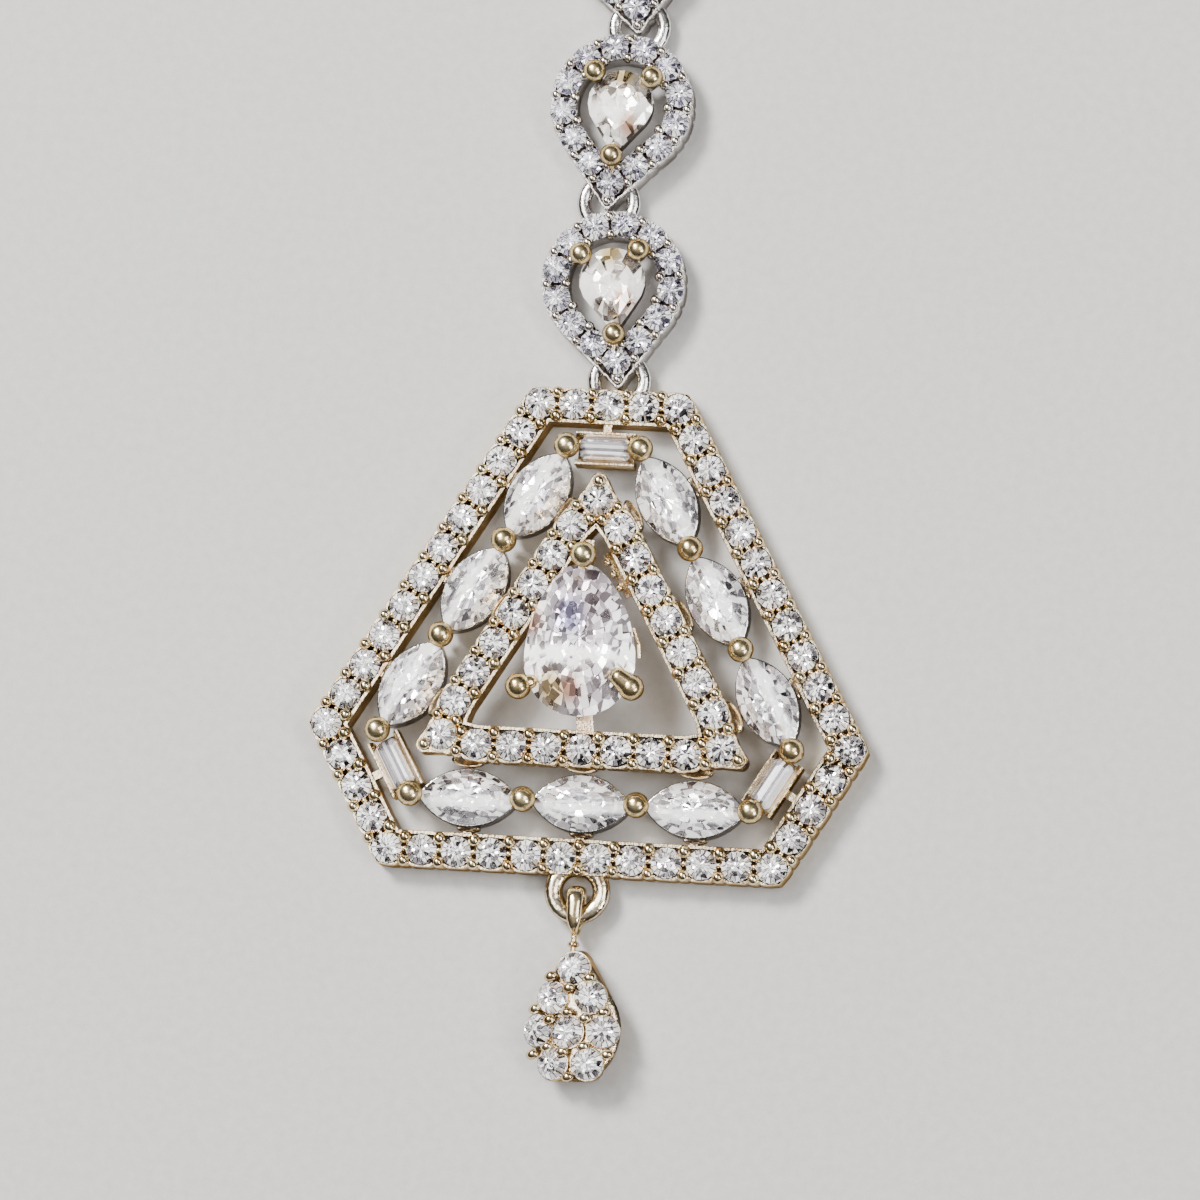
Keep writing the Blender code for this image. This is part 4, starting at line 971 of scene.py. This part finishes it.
def stem(start, end, radius, sides=12):
    way = np.asarray(end, float) - np.asarray(start, float)
    across = (1.0, 0.0, 0.0) if abs(way[0]) < 0.8 * np.linalg.norm(way) else (0.0, 1.0, 0.0)
    return tube([start, end], radius, across, sides)


BASKET_Z = 3.2
SPOKES = ((-83, 3.6, 0.42), (139, 3.3, 0.22), (90, 6.2, 0.22))
LEFT_BALL, RIGHT_BALL, TOP_BALL = (-3.14, -1.60, 4.6), (2.49, -1.39, 4.62), (-0.34, 5.15, 4.6)
FEET = [(*(PEAR_PLACE + foot), 3.0) for foot in ((-1.98, -0.92), (2.0, -0.85), (0.0, 3.9))]
SIDE_WIRE = ((2.66, 0.25, 3.5), (2.58, 0.95, 3.62), (2.28, 1.7, 3.7))
APEX_STRIP = ((0.62, 5.5, 2.85), (1.24, 4.45, 2.8), (1.86, 3.4, 2.7))
APEX_BITS = ((0.66, 5.0, 3.1), (1.0, 4.42, 3.05), (1.36, 3.8, 2.95))
UP = (0.0, 0.0, 1.0)
basket = wall(PEAR_OUTLINE * 0.82, PEAR_OUTLINE * 0.66, BASKET_Z - 0.4, BASKET_Z)
spokes = [
    stamped(box(1.6, reach, -half, half, BASKET_Z - 0.34, BASKET_Z - 0.06), PEAR_PLACE, degrees)
    for degrees, reach, half in SPOKES
]
strips = [tube(SIDE_WIRE, 0.1, UP, 8), tube(APEX_STRIP, 0.22, UP, 8)]
bits = stamped(ball(0.2, 10, 8, shine=0.5), APEX_BITS)
piece("centre_basket", [stamped(basket, PEAR_PLACE), *spokes, *strips, bits], PALE_GOLD)
CENTRE_BALLS = (LEFT_BALL, RIGHT_BALL, TOP_BALL)
prongs = [
    stamped(ball(BALL_RADIUS, 32, 21, shine=BALL_SHINE), CENTRE_BALLS),
    capsule(RIGHT_BALL, (1.88, -0.94, 4.80), 0.60, 0.48, 28, 11),
    capsule(LEFT_BALL, (-2.58, -1.34, 4.5), 0.44, 0.36, 20, 9),
    *[stem(top, foot, 0.24) for top, foot in zip(CENTRE_BALLS, FEET)],
]
piece("centre_ball_prongs", prongs, BRASSY_GOLD, smooth=60)

# %% [markdown]
# ## Pear-shaped links
# A link is a halo of pavé round a small pear. Its walls are given by their distance from the centre at
# each angle: the head's radius, or the straight side that touches the head, r / cos(touch - a). The seats
# are cut where a ray from the centre leaves the circle round a stone, c.u + sqrt(R^2 - |c|^2 + (c.u)^2).

# %% The halo's surface
LINK_STONE, LINK_SEAT = 1.40, 0.71
LINK_ANGLES = angles(360)
LINK_RIM = 0.12


def teardrop_radius(radius, tip):
    """The distance to a teardrop's edge at each of the halo's angles, its point at -Y."""
    a = np.abs((LINK_ANGLES + math.pi / 2 + math.pi) % (2 * math.pi) - math.pi)
    touch = math.acos(radius / tip)
    return np.where(a < touch, radius / np.cos(touch - a), radius)


def halo(row):
    """The channel between the halo's walls, with a seat round each stone."""
    u = polar(1.0, LINK_ANGLES)
    outer = np.minimum(teardrop_radius(LINK_RADIUS, LINK_TIP + 0.12), LINK_TIP)
    middle = teardrop_radius(2.975, 4.3)
    inner = teardrop_radius(2.3, 3.3)
    near = u @ row.T
    root = LINK_SEAT**2 - np.sum(row**2, axis=1) + near**2
    reach = np.sqrt(np.maximum(root, 0))
    far = np.where(root > 0, near + reach, 0).max(axis=1)
    close = np.where(root > 0, near - reach, 99).min(axis=1)
    far = np.clip(far, middle + 0.3, outer - 0.05)
    close = np.clip(close, inner + 0.05, middle - 0.3)
    t = np.min(np.linalg.norm(u[:, None] * middle[:, None, None] - row[None], axis=2), axis=1)
    outer = outer - notch(t, 0.5, 0.08)
    rows = channel(outer, far, close, inner, (LINK_RIM, LINK_RIM), 0.0, BAR_TOP, 0.42, (0.02, -0.03))
    # The halo's channel carries the same painted shade as the bars.
    return closed_wall([(r[:, None] * u, z) for r, z in rows], CHANNEL_PAINTED_SHADE)


ROW = teardrop(2.975, 4.1, 0.5, 60, 5)
LINK_ROW = evenly(np.roll(ROW, -2, axis=0), 13)
HALO = halo(LINK_ROW)
print("link stones:", len(LINK_ROW))

# %% Links


def on_links(shape):
    return [stamped(shape, centre, lean) for centre, lean in LINKS]


halos = on_links(HALO)
for k, (centre, lean) in enumerate(LINKS):
    away = RINGS[k + 1] - centre
    toward = math.degrees(math.atan2(-away[1], -away[0]))
    halos += [bridge(RINGS[k], lean + 90, 0.6, 0.0), bridge(RINGS[k + 1], toward, 0.2, 0.6)]
piece("link_halos", halos, WHITE_PLATE, names("link", 3))
link_row = np.concatenate([turn(LINK_ROW, lean) + centre for centre, lean in LINKS])
LINK_ROUND = cut_gem(circle(LINK_STONE / 2, 16), 0.56, 0.28, 0.45)
stones("link_pave", LINK_ROUND, *seated(link_row, BAR_TOP + 0.03), LINK_PAVE_STONE, first=200)

# %% Beads on the links
next_row = np.roll(LINK_ROW, -1, axis=0)
between, step = (LINK_ROW + next_row) / 2, next_row - LINK_ROW
square = unit(columns(step[:, 1], -step[:, 0]))
outer_beads, inner_beads = between + 0.5 * square, between - 0.47 * square
small_beads = between - 0.3 * square + 0.22 * square[:, ::-1] * (-1, 1)
every_link = [
    stamped(ball(0.27, 10, 7, 1.0, 0.45), lifted(outer_beads, BAR_TOP)),
    stamped(ball(0.29, 10, 8, 1.0, 0.45), lifted(inner_beads, BAR_TOP + 0.02)),
    stamped(ball(0.13, 8, 6), lifted(small_beads, BAR_TOP)),
    stamped(ball(0.26, 12, 8), (0.0, -5.04, BAR_TOP - 0.02)),
]
piece("link_beads", on_links(joined(every_link)), WHITE_BEAD, smooth=80)

# %% The links' pear stones and ball prongs
LINK_PEAR_Z = 1.74
link_edge = evenly(teardrop(1.68, 2.65, 0.15, 50, 7), 20, 0.006)
LINK_GEM = cut_gem(link_edge, 0.55, 0.52, 1.1, middle=0.79, centre=np.array([0.0, -0.25]))
places = lifted([centre for centre, _ in LINKS], LINK_PEAR_Z)
leans = [lean for _, lean in LINKS]
stones("link_pears", LINK_GEM, places, leans, LINK_PEAR_STONE, names("link_stone", 3), 140)
seat_edge = teardrop(1.6, 2.6, 0.15, 40, 7)
link_seat = wall(seat_edge * 0.99, seat_edge * 0.74, 0.7, LINK_PEAR_Z - 0.08)
LINK_BALLS = np.array([(1.4627, 1.364, 2.3), (-1.4627, 1.364, 2.3), (0.0, -2.85, 2.3)])
LINK_FEET = np.array([(1.98, 1.85, 1.0), (-1.98, 1.85, 1.0), (0.0, -3.5, 1.0)])
link_spokes = [
    stamped(box(1.2, reach, -0.22, 0.22, 0.75, 1.05), (0.0, 0.0), degrees)
    for degrees, reach in ((43, 2.5), (137, 2.5), (-90, 3.4))
]
piece("link_baskets", on_links(joined([link_seat, *link_spokes])), WHITE_PLATE)
link_stems = [stem(top, foot, 0.22) for top, foot in zip(LINK_BALLS, LINK_FEET)]
prong = joined([stamped(ball(0.57, 28, 17, shine=0.68), LINK_BALLS), *link_stems])
piece("link_ball_prongs", on_links(prong), BRASSY_GOLD, smooth=60)

# %% [markdown]
# ## Connector rings
# Four rings of flattened wire join the pieces of the chain: a flat circle carried round a circle.

# %% Rings
ring_path = lifted(circle(RING_PATH, 56), RING_Z)
ring = stamped(tube(ring_path, RING_WIRE + 0.08, UP, 14, loop=True, flatten=0.74), RINGS)
piece("connector_rings", [ring], WHITE_PLATE, names("connector_ring", 4))

# %% [markdown]
# ## Loop, bail and drop
# The drop hangs from a cast loop under the bottom bar. Its bail stands on edge through the loop, wide
# where it bends over and narrow above the collar. The drop's stones are held by claws alone, so their
# round edges make its outline, and its wall shows below them.

# %% Loop
LOOP_PLACE = (0.0, -11.258)
LOOP_PROFILE = (
    (0.75, 0.80), (0.79, 0.67), (0.90, 0.63), (1.48, 0.63), (1.60, 0.70), (1.65, 0.84), (1.64, 0.99),
    (1.58, 1.11), (1.45, 1.20), (1.28, 1.24), (1.08, 1.21), (0.90, 1.13), (0.79, 1.00),
)  # fmt: skip
# Painted shade for each row of the loop's profile: darkest under it and on its inner side.
LOOP_PAINTED_SHADE = (0.9, 0.9, 0.7, 0.7, 0.7, 0.6, 0.4, 0.1, 0.0, 0.0, 0.0, 0.35, 0.8)
loop = tower(circle(1.0, 64), LOOP_PROFILE, np.array(LOOP_PAINTED_SHADE)[:, None], loop=True)
piece("bottom_loop", [stamped(loop, LOOP_PLACE)], CAST_GOLD)

# %% Bail


def upright_oval(x, y, z, powers, count):
    """A loop that stands on edge between two places along Y and two heights. Its corners are fuller than an
    ellipse's: the cosine and the sine are raised to powers below 1, and keep their signs."""
    a = angles(count)
    waves = [np.sign(w) * np.abs(w) ** power for w, power in zip((np.cos(a), np.sin(a)), powers)]
    sides = [(low + high) / 2 + (high - low) / 2 * wave for (low, high), wave in zip((y, z), waves)]
    return columns(x, *sides)


BAIL_START, BAIL_END = -13.30, -11.18
BAIL_WIDER = 1.65
bail_path = upright_oval(0.0, (BAIL_START, BAIL_END), (0.21, 1.63), (0.7, 0.8), 48)
bail_wide = np.interp(bail_path[:, 1], (BAIL_START, BAIL_START + 0.6, BAIL_END), (0.62, 1.1, 1.3))
bail = tube(bail_path, 0.2, (1.0, 0.0, 0.0), 14, loop=True)
bail[0][:, 0] *= np.repeat(bail_wide, 14) * BAIL_WIDER
collar_disc = ball(0.3, 16, 9)
collar_disc[0][:, 1] *= 0.6
bail_parts = [
    bail,
    stamped(ball(0.17, 12, 7), (0.0, -13.58, 1.0)),
    stamped(collar_disc, (0.0, -13.93, 1.02)),
    stem((0.0, -13.2, 0.98), (0.0, -14.3, 1.03), 0.15),
]
piece("bail_and_collar", bail_parts, BEAD_GOLD, smooth=60)

# %% Drop
DROP_CENTRE = np.array([0.32, -18.12, 0.0])
DROP_ROLL, DROP_TURN, DROP_BOW = 11.0, 3.0, 6.4
DROP_RADIUS, DROP_FACE = 2.6, 1.3
DROP_PIVOT = (0.0, 3.9)


def rolled(points):
    """Points of the drop, bent over a cylinder of radius DROP_BOW along it, turned in plan, and rolled about
    its long axis, so that it leans on its left edge: the right is raised. None sinks into the table."""
    points = np.asarray(points, float).copy()
    angle, height = points[:, 0] / DROP_BOW, points[:, 2] - DROP_FACE
    x = (DROP_BOW + height) * np.sin(angle)
    z = (DROP_BOW + height) * np.cos(angle) - DROP_BOW + DROP_FACE
    cosine, sine = math.cos(math.radians(DROP_ROLL)), math.sin(math.radians(DROP_ROLL))
    points[:, 0] = x * cosine - z * sine
    points[:, 2] = np.maximum(x * sine + z * cosine + DROP_RADIUS * sine, 0.0)
    points[:, :2] = turn(points[:, :2] - DROP_PIVOT, DROP_TURN) + DROP_PIVOT
    points[:, :3] += DROP_CENTRE
    return points


drop_edge = turn(teardrop(DROP_RADIUS, 3.95, 0.95, 56, 13), 180)
drop_body = tower(drop_edge, ((0.96, 0.0), (1.0, 0.08), (0.97, 1.1), (0.90, 1.22), (0.80, 1.24)))
DROP_STONES = np.array([
    (0.12, 2.95), (-1.0, 1.5), (0.98, 1.5), (-1.82, -0.1), (-0.16, -0.2), (1.62, -0.2), (-0.93, -1.75),
    (0.85, -1.8),
])  # fmt: skip
DROP_BEADS = np.array([
    (-1.0, 2.55), (0.95, 2.45), (-0.05, 1.95), (-1.85, 0.95), (-0.1, 0.75), (1.65, 0.75), (-1.05, 0.4),
    (0.75, 0.45), (-1.15, -0.95), (-0.35, -1.2), (0.7, -0.95), (-1.95, -1.3), (1.85, -1.35), (-0.05, -2.45),
])  # fmt: skip
gem = cut_gem(circle(0.82, 16), 0.55, 0.4, 0.6)
stones("drop_pave", gem, *seated(DROP_STONES, 1.44), PAVE_STONE, first=160, bend=rolled)
collar = tower(circle(1.0, 28), ((0.86, 0.7), (0.88, 1.3), (0.84, 1.42), (0.7, 1.42)))
drop_metal = [(rolled(points), faces) for points, faces in (drop_body, stamped(collar, DROP_STONES))]
piece("drop_body", drop_metal, PALE_GOLD, replaces=["drop"])
drop_bead = ball(0.25, 12, 8, shine=0.4)
drop_bead[0][:, 0] *= 1.35
points, faces = stamped(drop_bead, lifted(DROP_BEADS, 1.62), 18)
piece("drop_beads", [(rolled(points), faces)], BEAD_GOLD, smooth=80)

# %% [markdown]
# ## Hair hook
# The hook lies beyond the photo's edge, so it is plain: a strap round the last ring, a shank, a round bend
# and a shorter return whose end curls out.

# %% Hook
HOOK_WIRE, HOOK_GAP = 0.5, 4.8
HOOK_START, HOOK_SHOULDER, HOOK_RETURN, HOOK_CURL = 1.93, 9.93, 5.5, 1.6
EYE_WIDER = 3.0
bend = HOOK_GAP / 2 + HOOK_WIRE
hook_end = HOOK_SHOULDER - HOOK_RETURN
a = np.linspace(0, math.pi, 30)[1:]
curl = np.radians(np.linspace(0, 60, 8))[1:]
path = np.concatenate([
    columns(0.0, np.linspace(HOOK_START, HOOK_SHOULDER, 12)),
    columns(bend - bend * np.cos(a), HOOK_SHOULDER + bend * np.sin(a)),
    columns(2 * bend, np.linspace(HOOK_SHOULDER, hook_end, 11)[1:]),
    columns(2 * bend + HOOK_CURL * (1 - np.cos(curl)), hook_end - HOOK_CURL * np.sin(curl)),
])
wire = tube(lifted(path + RINGS[3], 0.5), HOOK_WIRE, UP, 16)
hook_x, hook_y = RINGS[3]
eye_path = upright_oval(hook_x, (hook_y + 0.62, hook_y + 1.9), (0.14, 1.22), (0.5, 0.5), 40)
eye = tube(eye_path, 0.14, (1.0, 0.0, 0.0), loop=True)
eye[0][:, 0] = hook_x + (eye[0][:, 0] - hook_x) * EYE_WIDER
piece("hook_wire", [wire, eye], WHITE_PLATE, ["hair_hook"], smooth=60)

# %% [markdown]
# ## Table and light
# The jewel lies on a plain pale table. Polished metal shows what is around it, so the lamps are large
# white panels: a strong one to the upper left, as the soft shadow in the photo says, two weak ones on both
# sides of the camera, whose reflections meet on each ball, and a small one low on the right. The walls are
# dim, which is what makes facets sparkle.

# %% Table
table = bpy.data.meshes.new("table")
half = 2.0
corners = [(-half, -half, 0), (half, -half, 0), (half, half, 0), (-half, half, 0)]
table.from_pydata(corners, [], [(0, 1, 2, 3)])
paper = Recipe("pale_table", Roughness=0.75)
tone = paper.ramp(paper.grain(0.5), ((0.3, (0.60, 0.59, 0.58)), (0.7, (0.66, 0.65, 0.64))))
table.materials.append(paper.drive(Base_Color=tone, Normal=paper.bump(paper.grain(0.25), 0.02, 0.5)))
table_obj = new_object("table", table)

# %% Lamps


def panel(name, place, size, power, colour=(1.0, 1.0, 1.0)):
    """A square lamp that faces the pendant."""
    lamp = bpy.data.lights.new(name, "AREA")
    lamp.shape, lamp.size, lamp.energy, lamp.color = "SQUARE", size, power, colour
    obj = new_object(name, lamp)
    obj.location = place
    obj.rotation_euler = (LOOK_AT - Vector(place)).to_track_quat("-Z", "Y").to_euler()


panel("key_panel", (-0.30, 0.28, 0.48), 0.18, 6.8, (1.0, 0.98, 0.95))
panel("left_panel", (-0.22, 0.06, 0.52), 0.24, 1.2)
panel("right_panel", (0.28, 0.02, 0.46), 0.20, 0.9)
panel("right_glint", (0.42, -0.22, 0.36), 0.10, 1.2)
world = bpy.data.worlds.new("room")
world.use_nodes = True
sky = world.node_tree
direction = sky.nodes.new("ShaderNodeTexCoord")
height = sky.nodes.new("ShaderNodeSeparateXYZ")
ramp = sky.nodes.new("ShaderNodeValToRGB")
sky.links.new(direction.outputs["Generated"], height.inputs[0])
sky.links.new(height.outputs["Z"], ramp.inputs[0])
sky.links.new(ramp.outputs[0], sky.nodes["Background"].inputs["Color"])
ramp.color_ramp.elements.new(0.8)
for stop, (place, grey) in zip(ramp.color_ramp.elements, ((0.35, 0.04), (0.78, 0.14), (0.97, 0.45))):
    stop.position, stop.color = place, (grey, 0.98 * grey, 0.95 * grey, 1.0)
bpy.context.scene.world = world
